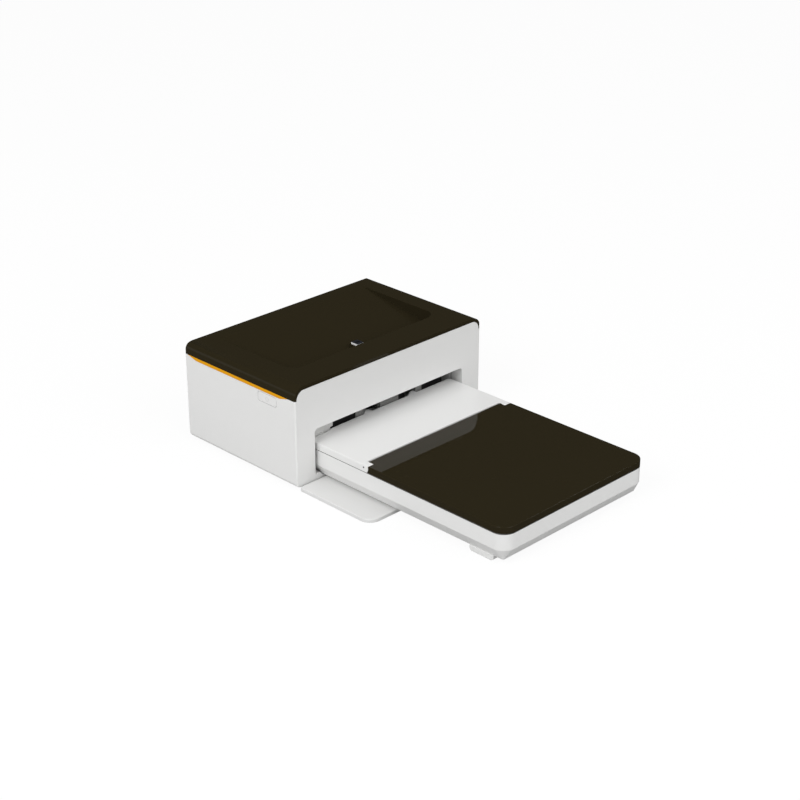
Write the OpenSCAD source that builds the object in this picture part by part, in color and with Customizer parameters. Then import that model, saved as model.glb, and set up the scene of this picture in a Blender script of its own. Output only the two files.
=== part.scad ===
// Compact photo printer with a dock in its cover and a paper tray in its front slot.
// Millimetres. X runs along the front, +Y towards the back, +Z up, the table is Z = 0.
// The sizes below count Y from the front face; place() moves each piece so that the
// origin lies under the middle of the whole object with its tray in place.

/* [Casing] */
// Width of the casing
body_w = 168.4; // [164:0.1:176]
// Depth of the casing
body_d = 107.5; // [107:0.1:118]
// Height of the casing above its feet
body_h = 68.9; // [66:0.1:76]
// Height of the rubber feet
foot_h = 1.5; // [1:0.1:3]
// Thickness of the casing walls
wall = 2.4; // [2.2:0.1:2.6]
// Radius of the long top edges
top_r = 7.7; // [5:0.1:9]
// Radius of the long bottom edges
bottom_r = 2.8; // [2.2:0.1:5]
// Radius of the upright edges at the front
front_edge_r = 1.2; // [1:0.1:2]
// Radius of the upright edges at the back
back_edge_r = 0.8; // [0.5:0.1:4]
// Radius of the top edge at the back
back_top_r = 3.4; // [2:0.1:4]
// Radius of the bottom edge at the back
back_bottom_r = 4.8; // [3:0.1:5]

/* [Top cover] */
// Thickness of the cover's sides
cover_t = 1.4; // [1:0.1:1.5]
// Thickness of the cover's top
cover_top_t = 2.4; // [1.8:0.1:2.8]
// Height of the cover's sides
skirt_h = 8.85; // [7:0.05:9.5]
// Width of the dock recess
dock_w = 131; // [120:0.5:136]
// Front edge of the dock recess, from the front face
dock_front = 22.6; // [20:0.1:30]
// Back edge of the dock recess, from the front face
dock_back = 94.8; // [90:0.1:99]
// Depth of the dock recess at its front edge
dock_depth = 9.7; // [7:0.1:10]
// Corner radius of the dock recess
dock_r = 10; // [6:0.5:14]
// Width of the dock connector
plug_w = 5.6; // [5:0.1:9]

/* [Side trim and button] */
// Height of the amber strip
strip_h = 2.2; // [1.5:0.1:3]
// Depth of the groove that holds the strip
strip_t = 1.1; // [0.8:0.1:1.3]
// Length of the power button
button_len = 17.8; // [12:0.1:20]
// Height of the power button
button_h = 6.8; // [5:0.1:7]
// Travel of the power button
button_travel = 0.5; // [0.3:0.05:0.6]

/* [Front slot and door] */
// Gap between the tray and each side of the slot
slot_gap = 1.55; // [1.4:0.05:1.8]
// Height of the slot's top edge above the table
slot_top = 37.6; // [36:0.1:39]
// Depth of the sleeve behind the slot
sleeve_d = 10; // [8:0.1:10]
// Length of the front door
door_len = 64.1; // [60:0.1:65]
// Thickness of the front door at its rim
door_rim_t = 2.4; // [2.3:0.1:2.5]

/* [Paper tray] */
// Width of the tray
tray_w = 131.5; // [130.8:0.1:132.2]
// Length of the tray in front of the casing
tray_out = 159; // [157:0.5:165]
// Length of the tray inside the casing
tray_in = 38; // [36:0.5:38]
// Height of the tray's top above the table
tray_top = 26.9; // [26.6:0.1:27.2]
// Height of the seam between tray and lid above the table
tray_seam = 22.3; // [22.2:0.1:22.8]
// Thickness of the tray walls and lid
tray_wall = 2; // [1.6:0.1:2.2]
// Length of the white cover in front of the casing
white_out = 39.6; // [36:0.1:44]
// Corner radius of the tray's front corners
tray_r = 9; // [6:0.5:12]
// Angle that the tray lid opens
lid_open = 95; // [60:5:95]

/* [Paper] */
// Width of a sheet
paper_w = 102; // [98:0.5:102.5]
// Length of a sheet with its tear-off ends
paper_len = 184; // [170:1:185]
// Thickness of the full stack
stack_t = 4.7; // [2:0.1:5.2]

/* [Rollers] */
// Radius of the pickup roller
pickup_r = 5.4; // [5:0.1:5.4]
// Radius of the platen roller
platen_r = 6; // [5.6:0.1:6]
// Radius of the capstan
capstan_r = 3.9; // [3.5:0.1:3.9]
// Radius of the pinch roller
pinch_r = 3.5; // [3:0.1:3.5]
// Radius of the shafts
shaft_r = 2.5; // [2:0.1:2.8]

/* [Gears] */
// Module of the gear teeth
gear_m = 0.8; // [0.78:0.01:0.82]
// Width of a gear's teeth
gear_w = 3.6; // [3:0.1:3.8]
// Teeth of the motor pinion
pinion_n = 12; // [12:1:13]
// Teeth of the large reduction gear
big_n = 36; // [34:1:37]
// Teeth of the small reduction gear
small_n = 14; // [13:1:15]
// Teeth of the platen gear
platen_n = 24; // [22:1:25]
// Teeth of the capstan gear
capstan_n = 16; // [15:1:17]
// Teeth of the three idlers
idler_n = 16; // [15:1:17]
// Teeth of the pickup gear
pickup_n = 12; // [11:1:12]
// Teeth of the take-up gear
takeup_n = 24; // [22:1:25]

/* [Ribbon] */
// Radius of the film wound on a spool
film_r = 7.2; // [5:0.1:7.4]
// Radius of the spool flanges
flange_r = 8.2; // [7.8:0.1:8.3]
// Angle that the print head lifts
head_lift = 3; // [1:0.5:3]
// Turn of the cam that lifts the head
cam_turn = 150; // [90:10:170]

/* [Clearances] */
// Gap between a shaft and its bore
running_gap = 0.05; // [0.03:0.01:0.08]
// Gap around pieces that fit in an opening
fit_gap = 0.2; // [0.15:0.01:0.25]
// Gap around doors and buttons
door_gap = 0.35; // [0.3:0.01:0.45]
// Gap between casing pieces that are stacked
seat_gap = 0.15; // [0.1:0.01:0.2]

/* [Hidden] */

$fn = 48;
eps = 0.01;

// Colours
white_abs = "#e0e0de";
dark_abs = "#2a2419";
amber_abs = "#f5a81d";
grey_abs = "#8d8d8b";
black_abs = "#202022";
rubber_black = "#1c1c1c";
steel = "#b4b8bc";
bright_steel = "#c8ccd0";
aluminium = "#c4c8cc";
acetal = "#e8e6dc";
board_green = "#1f5b3a";

// Casing, worked out from the driving sizes
front_y = (tray_out - body_d) / 2;
half_w = body_w / 2;
roof_z = foot_h + body_h;
skirt_z = roof_z - skirt_h;
inner_half_w = half_w - wall;
floor_t = 1.6;
floor_z = foot_h + floor_t;
seat_z = floor_z + 0.1;
lip_w = bottom_r + seat_gap;
lip_front = 4;
post_x = half_w - 8.4;
post_r = 3.2;
post_front_y = 14;
post_back_y = 86;
post_top_z = 30;
screw_r = 1.2;
screw_len = 9;
head_r = 2.4;
head_t = 0.7;
foot_r = 6;
foot_x = half_w - 17;
foot_front_y = 16;
foot_back_y = body_d - 14;

// Dock recess: a floor that falls from the back edge to the front edge
dock_half = dock_w / 2;
dock_slope = atan2(dock_depth, dock_back - dock_front);
pan_t = 1.6;
plug_x = 0.6;
plug_y = dock_front + 7;
plug_d = 6.2;
plug_top_z = roof_z - 4;
plug_base_z = roof_z - dock_depth - pan_t - 5;
plug_bare = 1.1;
collar_t = 0.5;

// Side strip, button and its switch
strip_top_z = skirt_z;
strip_low_z = skirt_z - strip_h;
strip_front_y = 6.4;
strip_back_y = body_d - 2.1;
strip_slant_front = 8.2;
strip_slant_back = 8.8;
button_y = 17.4;
button_z = skirt_z - strip_h - 0.8 - button_h;
button_cap_t = 2;
button_r = 2;
button_mid_y = button_y + button_len / 2;
button_mid_z = button_z + button_h / 2;
switch_gap = button_travel + 0.2;
switch_x = -half_w + button_cap_t + 1 + switch_gap;
switch_body = 6;
switch_d = 2.4;
plunger_d = 0.6;
board_t = 1.6;
switch_board_x = switch_x + plunger_d + switch_d;

// Slot, sill and front door
slot_half = tray_w / 2 + slot_gap;
slot_left = slot_half + 0.9;
slot_low = 6;
slot_r = 3;
sleeve_t = 2;
notch_half = 62.2;
notch_chamfer = 2.2;
door_axis_y = -1.5;
door_axis_z = 1.2;
door_half = half_w - 1.1;
door_r = 8;
door_panel_t = door_rim_t - 0.3;
door_rim_w = 1.1;
door_back_gap = 0.9;
door_back_r = 2.5;
door_tongue = 1.2;
door_tongue_t = 0.7;
ear_x = 50;
ear_w = 4.8;
ear_r = 1.15;
pin_r = 0.6;
pin_len = 12;

// Cartridge door in the right wall
cdoor_front = 33;
cdoor_back = 101.5;
cdoor_low = 34;
cdoor_top = strip_low_z - 1;
cdoor_t = 2;
cdoor_axis_x = half_w - cdoor_t / 2;
cdoor_axis_z = cdoor_low + door_gap + cdoor_t / 2;

// Tray
tray_half = tray_w / 2;
tray_low = 3.8;
tray_side_low = 11.3;
tray_chamfer = 4.4;
tray_low_r = 1.2;
tray_front = -tray_out;
tray_rear_wall_top = 18;
well_floor = 6.5;
well_w = paper_w + 2;
right_rail_w = 4.25;
paper_x = tray_half - right_rail_w - well_w / 2;
well_x0 = paper_x - well_w / 2;
well_x1 = paper_x + well_w / 2;
pocket_x0 = -tray_half + 3.8;
pocket_floor = 8;
rear_step_y = 9;
rear_step_top = 18;
seam_groove = 0.4;
white_back = 10.6;
white_left_back = 8.5;
tab_back = 14.1;
arm_in = 5.2;
lid_axis_z = tray_top - 1.8;
lid_gap = 0.3;
lid_axis_y = -white_out - 1.8 - lid_gap;
arm_r = 3.9;
lid_cut_r = arm_r + fit_gap;
tray_pin_r = 0.6;
tray_pin_len = 9.4;
tray_foot_x = tray_half - 6.25;
tray_foot_w = 4.8;
tray_foot_y0 = -147.3;
tray_foot_y1 = -127.9;
plate_t = 1.2;
stack_top = 20.9;
plate_top = stack_top - stack_t;
plate_low = plate_top - plate_t;
lift_axis_y = tray_front + 9;
lift_axis_z = plate_top - plate_t / 2;
lift_peg_r = 1.2;
stack_front = tray_front + 6;
plate_back = stack_front + paper_len - 1;
spring_y = 18;
spring_r = 4;
spring_wire = 0.6;
spring_turns = 4;

// Print engine
plate_x = 5.1 - well_x0;
plate_right_x = slot_half + 1.9;
sheet_t = 1.2;
engine_back = 103;
tab_w = 7;
tab_front_y = 50;
left_tab_back_y = 84;
right_tab_back_y = 92;
nip_z = 31.2;
pickup_y = 24;
pickup_z = stack_top + 0.4 + pickup_r;
pickup_w = 20;
capstan_y = 50;
capstan_z = nip_z - 0.1 - capstan_r;
pinch_z = nip_z + 0.2 + pinch_r;
pinch_shaft_r = 1.5;
platen_y = 70;
platen_z = nip_z - 0.2 - platen_r;
motor_y = 94;
motor_z = 17;
motor_r = 10.5;
motor_len = 17.5;
motor_shaft_r = 1.5;
bush_r = 4;
bush_flange_r = 5;
bush_flange_t = 0.9;
stud_r = 1.5;
gear_x1 = -plate_x - sheet_t - 1.2;
gear_x0 = gear_x1 - gear_w;
outer_x1 = gear_x0 - 1;
outer_x0 = outer_x1 - gear_w;

// Centres of the gears, each a pair [y, z]
function pitch_r(n) = n * gear_m / 2;
function mesh_d(a, b) = pitch_r(a) + pitch_r(b);
function heading(p, q) = atan2(q[1] - p[1], q[0] - p[0]);
// The point at distance dp from p and dq from q, on the left of the way from p to q (side = 1)
function meet(p, q, dp, dq, side) =
    let (d = norm(q - p), a = (dp * dp - dq * dq + d * d) / (2 * d), h = sqrt(dp * dp - a * a),
         u = (q - p) / d)
    p + a * u + side * h * [-u[1], u[0]];
motor_c = [motor_y, motor_z];
platen_c = [platen_y, platen_z];
capstan_c = [capstan_y, capstan_z];
pickup_c = [pickup_y, pickup_z];
reduction_c = meet(platen_c, motor_c, mesh_d(platen_n, small_n), mesh_d(big_n, pinion_n), 1);
feed_c = meet(capstan_c, platen_c, mesh_d(capstan_n, idler_n), mesh_d(platen_n, idler_n), -1);
rear_idler_turn = 118;
rear_idler_c = capstan_c
    + mesh_d(capstan_n, idler_n) * [cos(rear_idler_turn), sin(rear_idler_turn)];
front_idler_c = meet(rear_idler_c, pickup_c, mesh_d(idler_n, idler_n), mesh_d(idler_n, pickup_n), -1);
takeup_turn = 67;
takeup_c = reduction_c + mesh_d(small_n, takeup_n) * [cos(takeup_turn), sin(takeup_turn)];
supply_c = [45.5, 46.4];
head_pivot_c = [99.5, 59.5];
tie_r = 2;
ramp_front = 41;
ramp_back = 44.6;
ramp_rod_c = [ramp_back + tie_r + 0.1, 10];
shelf_top = nip_z - 0.4;
shelf_t = 1.2;
shelf_front = 78.5;
shelf_slot_w = 8;
shelf_rod_c = [82, shelf_top - shelf_t - tie_r - 0.1];
back_rod_c = [101, 42];

// Turn of each gear at rest, so that the teeth mesh. A turn of 0 puts a tooth on +Y.
function mesh_turn(from, to, turn, n_from, n_to) =
    let (way = heading(from, to))
    way + 180 + ((way - turn) * n_from - 180) / n_to;
small_turn = 0;
platen_turn = mesh_turn(reduction_c, platen_c, small_turn, small_n, platen_n);
pinion_turn = mesh_turn(reduction_c, motor_c, small_turn, big_n, pinion_n);
takeup_turn_0 = mesh_turn(reduction_c, takeup_c, small_turn, small_n, takeup_n);
feed_turn = mesh_turn(platen_c, feed_c, platen_turn, platen_n, idler_n);
capstan_turn = mesh_turn(feed_c, capstan_c, feed_turn, idler_n, capstan_n);
rear_idler_turn_0 = mesh_turn(capstan_c, rear_idler_c, capstan_turn, capstan_n, idler_n);
front_idler_turn_0 = mesh_turn(rear_idler_c, front_idler_c, rear_idler_turn_0, idler_n, idler_n);
pickup_turn = mesh_turn(front_idler_c, pickup_c, front_idler_turn_0, idler_n, pickup_n);

// Print head and the cam that lifts it
head_x0 = well_x0 + 0.5;
head_x1 = well_x1 + 0.5;
head_low = nip_z + 0.4;
head_y0 = platen_y - 7;
head_y1 = platen_y + 7;
head_board_t = 2.4;
sink_low = head_low + head_board_t;
sink_top = 50;
lug_x0 = gear_x0;
lug_y0 = 62.5;
lug_y1 = 67.5;
bracket_t = 1.5;
cam_gap = 0.25;
cam_low_r = 4.2;
cam_c = [65, sink_top - cam_gap - cam_low_r];
cam_lift = (head_pivot_c[0] - cam_c[0]) * sin(head_lift);
cam_shaft_r = 1.5;
cam_motor_r = 7;
cam_motor_len = 12;

// Ribbon cartridge
trough_in = flange_r + 0.6;
trough_out = trough_in + 1;
cap_left_x0 = -plate_x + 0.3;
cap_left_x1 = cap_left_x0 + 2;
cap_right_x0 = plate_right_x - 2.8;
cap_right_x1 = plate_right_x + 2.8;
cap_bar_low = 40;
cap_bar_top = 48;
spool_core_r = 5;
film_t = 0.12;

// Circuit board on its pillars
pcb_x0 = -24;
pcb_x1 = 60;
pcb_y0 = 51;
pcb_y1 = 104;
pcb_low = 8;
pcb_top = pcb_low + 1.6;
pillar_r = 2.5;
// Chips and plugs on the board, each [x, width, y, depth, height] from its front left corner
board_blocks = [
    [18, 14, 7, 14, 1.4], [40, 10, 9, 10, 1.2], [58, 12, 5, 6, 4],
    [3, 6, 11, 18, 4.5], [20, 18, 41, 4, 5]
];
can_x = [60, 70];
can_y = 33;
can_r = 3.2;
can_h = 7;
jack_x = 44;
jack_w = 9;
jack_h = 11;
jack_r = 2.8;
usb_x = 24;
usb_w = 12;
usb_h = 5.4;
socket_d = 12;
socket_back = body_d - wall - 0.1;

// Helpers --------------------------------------------------------------

module place() {
    translate([0, front_y, 0]) children();
}

module block(x0, x1, y0, y1, z0, z1) {
    translate([x0, y0, z0]) cube([x1 - x0, y1 - y0, z1 - z0]);
}

// A flat shape with its own x on Y and its own y on Z, drawn out along X
module along_x(x0, x1) {
    translate([x0, 0, 0]) rotate([90, 0, 90]) linear_extrude(x1 - x0) children();
}

// A flat shape with its own y on Z, drawn out along Y
module along_y(y0, y1) {
    translate([0, y1, 0]) rotate([90, 0, 0]) linear_extrude(y1 - y0) children();
}

module along_z(z0, z1) {
    translate([0, 0, z0]) linear_extrude(z1 - z0) children();
}

module rod_x(x0, x1, y, z, r) {
    translate([x0, y, z]) rotate([0, 90, 0]) cylinder(h = x1 - x0, r = r);
}

module rod_y(y0, y1, x, z, r) {
    translate([x, y0, z]) rotate([-90, 0, 0]) cylinder(h = y1 - y0, r = r);
}

module rod_z(z0, z1, x, y, r) {
    translate([x, y, z0]) cylinder(h = z1 - z0, r = r);
}

// Rectangle with one radius at its two low corners and one at its two high corners
module two_radius(x0, x1, y0, y1, r_low, r_high) {
    r_big = max(r_low, r_high);
    translate([x0, y0 + r_low]) square([x1 - x0, y1 - y0 - r_low - r_high]);
    translate([x0 + r_low, y0]) square([x1 - x0 - 2 * r_low, y1 - y0 - r_high]);
    translate([x0 + r_high, y0 + r_big]) square([x1 - x0 - 2 * r_high, y1 - y0 - r_big]);
    for (x = [x0 + r_low, x1 - r_low]) translate([x, y0 + r_low]) circle(r_low);
    for (x = [x0 + r_high, x1 - r_high]) translate([x, y1 - r_high]) circle(r_high);
}

module soft_rect(x0, x1, y0, y1, r) {
    translate([x0 + r, y0]) square([x1 - x0 - 2 * r, y1 - y0]);
    translate([x0, y0 + r]) square([x1 - x0, y1 - y0 - 2 * r]);
    for (x = [x0 + r, x1 - r], y = [y0 + r, y1 - r]) translate([x, y]) circle(r);
}

// Rectangle rounded at its two corners with the lowest y
module front_round(x0, x1, y0, y1, r) {
    translate([x0 + r, y0]) square([x1 - x0 - 2 * r, y1 - y0]);
    translate([x0, y0 + r]) square([x1 - x0, y1 - y0 - r]);
    for (x = [x0 + r, x1 - r]) translate([x, y0 + r]) circle(r);
}

// Outline of the casing seen from the front, shrunk at its sides and at its top
module front_outline(side_in, top_in) {
    two_radius(-half_w + side_in, half_w - side_in, foot_h, roof_z - top_in, bottom_r, top_r - side_in);
}

// Outline of the casing seen from the side, rounded at the back
module side_outline() {
    front = -10;
    translate([front, foot_h + back_bottom_r])
        square([body_d - back_top_r - front, body_h - back_bottom_r]);
    translate([front, foot_h]) square([body_d - back_bottom_r - front, body_h - back_top_r]);
    translate([front, foot_h + back_bottom_r])
        square([body_d - front, body_h - back_top_r - back_bottom_r]);
    translate([body_d - back_top_r, roof_z - back_top_r]) circle(back_top_r);
    translate([body_d - back_bottom_r, foot_h + back_bottom_r]) circle(back_bottom_r);
}

// The space that the casing's edges leave, seen from above and from the side
module round_backed() {
    intersection() {
        along_z(0, roof_z + 1) plan_outline();
        along_x(-half_w - 1, half_w + 1) side_outline();
    }
}

module plan_outline() {
    two_radius(-half_w, half_w, 0, body_d, front_edge_r, back_edge_r);
}

// Outline of the dock recess seen from above, grown by g
module dock_outline(g) {
    front_round(-dock_half - g, dock_half + g, dock_front - g, dock_back + g, dock_r + g);
}

// The space above the sloping dock floor, lowered by drop
module above_dock_floor(drop) {
    reach = body_d + 60;
    translate([0, dock_back, roof_z - drop]) rotate([dock_slope, 0, 0])
        translate([-body_w, -reach, 0]) cube([2 * body_w, 2 * reach, 60]);
}

module slot_outline() {
    two_radius(-slot_left, slot_half, slot_low, slot_top, 0.5, slot_r);
    polygon([[-notch_half, floor_z], [notch_half, floor_z], [notch_half, slot_low - notch_chamfer],
        [notch_half + notch_chamfer, slot_low], [notch_half, slot_low + 1], [-notch_half, slot_low + 1],
        [-notch_half - notch_chamfer, slot_low], [-notch_half, slot_low - notch_chamfer]]);
}

// Involute gear teeth as a flat outline, with a tooth on the x axis
function involute(a) = tan(a) - a * PI / 180;
function tooth_half(n, r) =
    let (rp = pitch_r(n), rb = rp * cos(20), lean = r <= rb ? 0 : acos(rb / r))
    ((PI * gear_m / 2 - 0.18) / (2 * rp) + involute(20) - involute(lean)) * 180 / PI;
function tooth_radii(n) =
    let (rp = pitch_r(n), root = rp - 1.15 * gear_m, tip = rp + 0.9 * gear_m,
         low = max(root, rp * cos(20)))
    [root, for (k = [0:3]) low + (tip - low) * k / 3];
function gear_outline(n) = [
    for (i = [0:n - 1])
        let (rs = tooth_radii(n), a = i * 360 / n, last = len(rs) - 1)
        each [
            for (k = [0:last]) rs[k] * [cos(a - tooth_half(n, rs[k])), sin(a - tooth_half(n, rs[k]))],
            for (k = [last:-1:0]) rs[k] * [cos(a + tooth_half(n, rs[k])), sin(a + tooth_half(n, rs[k]))]
        ]
];

module toothed(c, n, turn, x0, x1) {
    translate([x0, c[0], c[1]]) rotate([90, 0, 90]) rotate([0, 0, turn])
        linear_extrude(x1 - x0) polygon(gear_outline(n));
}

// A gear with a hub and a bore
module gear(c, n, turn, bore_r, hub_r, x0, x1) {
    difference() {
        union() {
            toothed(c, n, turn, x0, x1);
            rod_x(x0 - 0.4, x1 + 0.4, c[0], c[1], hub_r);
        }
        rod_x(x0 - 1, x1 + 1, c[0], c[1], bore_r);
    }
}

// A round wire wound into a coil that stands on z0
function coil_path(r, z0, z1, turns, steps) = [
    for (i = [0:turns * steps]) [r * cos(i * 360 / steps), r * sin(i * 360 / steps),
        z0 + (z1 - z0) * i / (turns * steps)]
];
module coil(r, wire, z0, z1, turns) {
    steps = 16;
    sides = 6;
    path = coil_path(r, z0 + wire, z1 - wire, turns, steps);
    rings = len(path);
    points = [
        for (i = [0:rings - 1], k = [0:sides - 1])
            let (a = i * 360 / steps, b = k * 360 / sides)
            path[i] + wire * cos(b) * [cos(a), sin(a), 0] + wire * sin(b) * [0, 0, 1]
    ];
    walls = [
        for (i = [0:rings - 2], k = [0:sides - 1])
            let (n = (k + 1) % sides)
            [i * sides + k, i * sides + n, (i + 1) * sides + n, (i + 1) * sides + k]
    ];
    first = [for (k = [sides - 1:-1:0]) k];
    final = [for (k = [0:sides - 1]) (rings - 1) * sides + k];
    polyhedron(points, concat(walls, [first], [final]), convexity = 6);
}

// Casing -----------------------------------------------------------------

// Outline of the side strip, grown by g on every side
module strip_outline(g) {
    front_run = strip_slant_front / strip_h;
    back_run = strip_slant_back / strip_h;
    front_g = g * sqrt(1 + front_run * front_run);
    back_g = g * sqrt(1 + back_run * back_run);
    polygon([[strip_front_y - front_g - g * front_run, strip_top_z + g],
        [strip_back_y + back_g + g * back_run, strip_top_z + g],
        [strip_back_y - strip_slant_back + back_g - g * back_run, strip_low_z - g],
        [strip_front_y + strip_slant_front - front_g + g * front_run, strip_low_z - g]]);
}

module screw_post(side, y) {
    reach = side * (inner_half_w + 0.5);
    rod_z(seat_z, post_top_z, side * post_x, y, post_r);
    block(min(side * post_x, reach), max(side * post_x, reach), y - 1, y + 1, seat_z, post_top_z);
}

module body_shell() {
    color(white_abs) place() difference() {
        union() {
            difference() {
                intersection() {
                    union() {
                        along_y(0, body_d) intersection() {
                            front_outline(0, 0);
                            translate([-half_w, 0]) square([body_w, skirt_z]);
                        }
                        along_y(0, body_d)
                            front_outline(cover_t + seat_gap, cover_top_t + seat_gap);
                    }
                    round_backed();
                }
                block(-inner_half_w, inner_half_w, wall, body_d - wall, floor_z, roof_z);
                block(-half_w + lip_w, half_w - lip_w, lip_front, body_d - lip_front, 0, floor_z + 1);
            }
            block(-slot_left - sleeve_t, slot_half + sleeve_t, wall - 0.5, sleeve_d, seat_z,
                slot_top + sleeve_t);
            for (side = [-1, 1], y = [post_front_y, post_back_y]) screw_post(side, y);
            for (x = [-ear_x, ear_x]) {
                rod_x(x - ear_w / 2, x + ear_w / 2, door_axis_y, door_axis_z, ear_r);
                block(x - ear_w / 2, x + ear_w / 2, door_axis_y, 1, door_axis_z - 0.6,
                    door_axis_z + ear_r);
            }
            for (y = [button_y + 1, button_y + button_len - 1])
                rod_x(-inner_half_w - 0.5, switch_board_x, y, button_z - 4, 2);
        }
        along_y(-1, sleeve_d + 1) slot_outline();
        along_x(-half_w - 1, -half_w + strip_t) strip_outline(seat_gap);
        along_x(half_w - strip_t, half_w + 1) strip_outline(seat_gap);
        along_x(-half_w - 1, -inner_half_w + 1)
            soft_rect(button_y, button_y + button_len, button_z, button_z + button_h, button_r);
        block(inner_half_w - 1, half_w + 1, cdoor_front, cdoor_back, cdoor_low, cdoor_top);
        for (y = [cdoor_front, cdoor_back])
            rod_y(y - pin_len / 2, y + pin_len / 2, cdoor_axis_x, cdoor_axis_z, pin_r);
        for (x = [-ear_x, ear_x]) rod_x(x - pin_len / 2, x + pin_len / 2, door_axis_y, door_axis_z, pin_r);
        for (side = [-1, 1], y = [post_front_y, post_back_y])
            rod_z(floor_z - 1, foot_h + screw_len + 1, side * post_x, y, screw_r);
        block(well_x0 - 1.5, well_x1 + 1.5, body_d - wall - 1, body_d + 1, nip_z - 2, nip_z + 3);
        rod_y(body_d - wall - 1, body_d + 1, jack_x, pcb_top + jack_h / 2, jack_r + 0.6);
        block(usb_x - usb_w / 2 - 0.4, usb_x + usb_w / 2 + 0.4, body_d - wall - 1, body_d + 1,
            pcb_top - 0.4, pcb_top + usb_h + 0.4);
        for (y = [40:6:88]) block(half_w - wall - 1, half_w + 1, y, y + 2.5, 12, 26);
    }
}

module base_plate() {
    color(white_abs) place() difference() {
        union() {
            block(-half_w + lip_w + fit_gap, half_w - lip_w - fit_gap, lip_front + fit_gap,
                body_d - lip_front - fit_gap, foot_h, floor_z);
            for (x = [pcb_x0 + 4, pcb_x1 - 4], y = [pcb_y0 + 4, pcb_y1 - 4])
                rod_z(foot_h + 0.5, pcb_low, x, y, pillar_r);
        }
        for (side = [-1, 1], y = [post_front_y, post_back_y]) {
            rod_z(foot_h - 1, floor_z + 1, side * post_x, y, screw_r + 0.2);
            rod_z(foot_h - 1, foot_h + head_t, side * post_x, y, head_r + 0.2);
        }
    }
}

module top_cover() {
    rim = fit_gap + collar_t;
    color(dark_abs) place() difference() {
        union() {
            difference() {
                union() {
                    intersection() {
                        along_y(0, body_d) difference() {
                            front_outline(0, 0);
                            front_outline(cover_t, cover_top_t);
                            translate([-half_w - 1, 0]) square([body_w + 2, skirt_z]);
                        }
                        round_backed();
                    }
                    intersection() {
                        along_z(roof_z - dock_depth - 3 * pan_t, roof_z - eps) dock_outline(pan_t);
                        above_dock_floor(pan_t);
                    }
                }
                intersection() {
                    along_z(roof_z - dock_depth - 1, roof_z + 1) dock_outline(0);
                    above_dock_floor(0);
                }
            }
            block(plug_x - plug_w / 2 - rim, plug_x + plug_w / 2 + rim, plug_y - rim,
                plug_y + plug_d + rim, roof_z - dock_depth + 0.5, plug_top_z - plug_bare);
        }
        block(plug_x - plug_w / 2 - fit_gap, plug_x + plug_w / 2 + fit_gap, plug_y - fit_gap,
            plug_y + plug_d + fit_gap, roof_z - dock_depth - 3 * pan_t, roof_z - 3);
    }
}

module amber_strip(side) {
    color(amber_abs) place()
        along_x(side * half_w - (side > 0 ? strip_t : 0), side * half_w + (side > 0 ? 0 : strip_t))
            strip_outline(0);
}

module amber_strip_left() { amber_strip(-1); }

module amber_strip_right() { amber_strip(1); }

module rubber_feet() {
    color(rubber_black) place()
        for (x = [-foot_x, foot_x], y = [foot_front_y, foot_back_y]) rod_z(0, foot_h, x, y, foot_r);
}

module case_screws() {
    color(steel) place()
        for (side = [-1, 1], y = [post_front_y, post_back_y]) difference() {
            union() {
                rod_z(foot_h + 0.1, foot_h + screw_len, side * post_x, y, screw_r - running_gap);
                rod_z(foot_h + 0.1, foot_h + head_t, side * post_x, y, head_r);
            }
            block(side * post_x - 1.6, side * post_x + 1.6, y - 0.3, y + 0.3, 0, foot_h + 0.4);
            block(side * post_x - 0.3, side * post_x + 0.3, y - 1.6, y + 1.6, 0, foot_h + 0.4);
        }
}

module front_door() {
    color(white_abs) place() difference() {
        union() {
            difference() {
                along_z(0, door_rim_t)
                    two_radius(-door_half, door_half, -door_len - door_back_gap, -door_back_gap, door_r,
                        door_back_r);
                along_z(door_panel_t, door_rim_t + 1)
                    front_round(-door_half + door_rim_w, door_half - door_rim_w,
                        -door_len - door_back_gap + door_rim_w, 0, door_r - door_rim_w);
            }
            block(-door_half + 4, door_half - 4, -door_back_gap - 1, door_tongue, 0.1, door_tongue_t);
            for (x = [-ear_x, ear_x])
                rod_x(x - pin_len / 2 - 1, x + pin_len / 2 + 1, door_axis_y, door_axis_z, 1.2);
        }
        for (x = [-ear_x, ear_x]) {
            block(x - ear_w / 2 - door_gap, x + ear_w / 2 + door_gap, door_axis_y - 2.2, 3, -1, 4);
            rod_x(x - pin_len / 2 - fit_gap, x + pin_len / 2 + fit_gap, door_axis_y, door_axis_z,
                pin_r + running_gap);
        }
    }
}

module cartridge_door() {
    color(white_abs) place() difference() {
        union() {
            block(half_w - cdoor_t, half_w, cdoor_front + door_gap, cdoor_back - door_gap,
                cdoor_axis_z, cdoor_top - door_gap);
            rod_y(cdoor_front + door_gap, cdoor_back - door_gap, cdoor_axis_x, cdoor_axis_z, cdoor_t / 2);
        }
        for (y = [cdoor_front, cdoor_back])
            rod_y(y - pin_len / 2 - fit_gap, y + pin_len / 2 + fit_gap, cdoor_axis_x, cdoor_axis_z,
                pin_r + running_gap);
        translate([half_w + 5, (cdoor_front + cdoor_back) / 2, cdoor_top - 4]) rotate([0, 90, 0])
            translate([0, 0, -6]) cylinder(h = 6, r = 7);
    }
}

module hinge_pins() {
    color(bright_steel) place() {
        for (x = [-ear_x, ear_x])
            rod_x(x - pin_len / 2, x + pin_len / 2, door_axis_y, door_axis_z, pin_r);
        for (y = [cdoor_front, cdoor_back])
            rod_y(y - pin_len / 2, y + pin_len / 2, cdoor_axis_x, cdoor_axis_z, pin_r);
    }
}

module power_button() {
    color(white_abs) place() {
        along_x(-half_w, -half_w + button_cap_t)
            soft_rect(button_y + fit_gap, button_y + button_len - fit_gap, button_z + fit_gap,
                button_z + button_h - fit_gap, button_r - fit_gap);
        rod_x(-half_w + button_cap_t - 0.5, switch_x - switch_gap, button_mid_y, button_mid_z, 1.5);
    }
}

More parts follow.
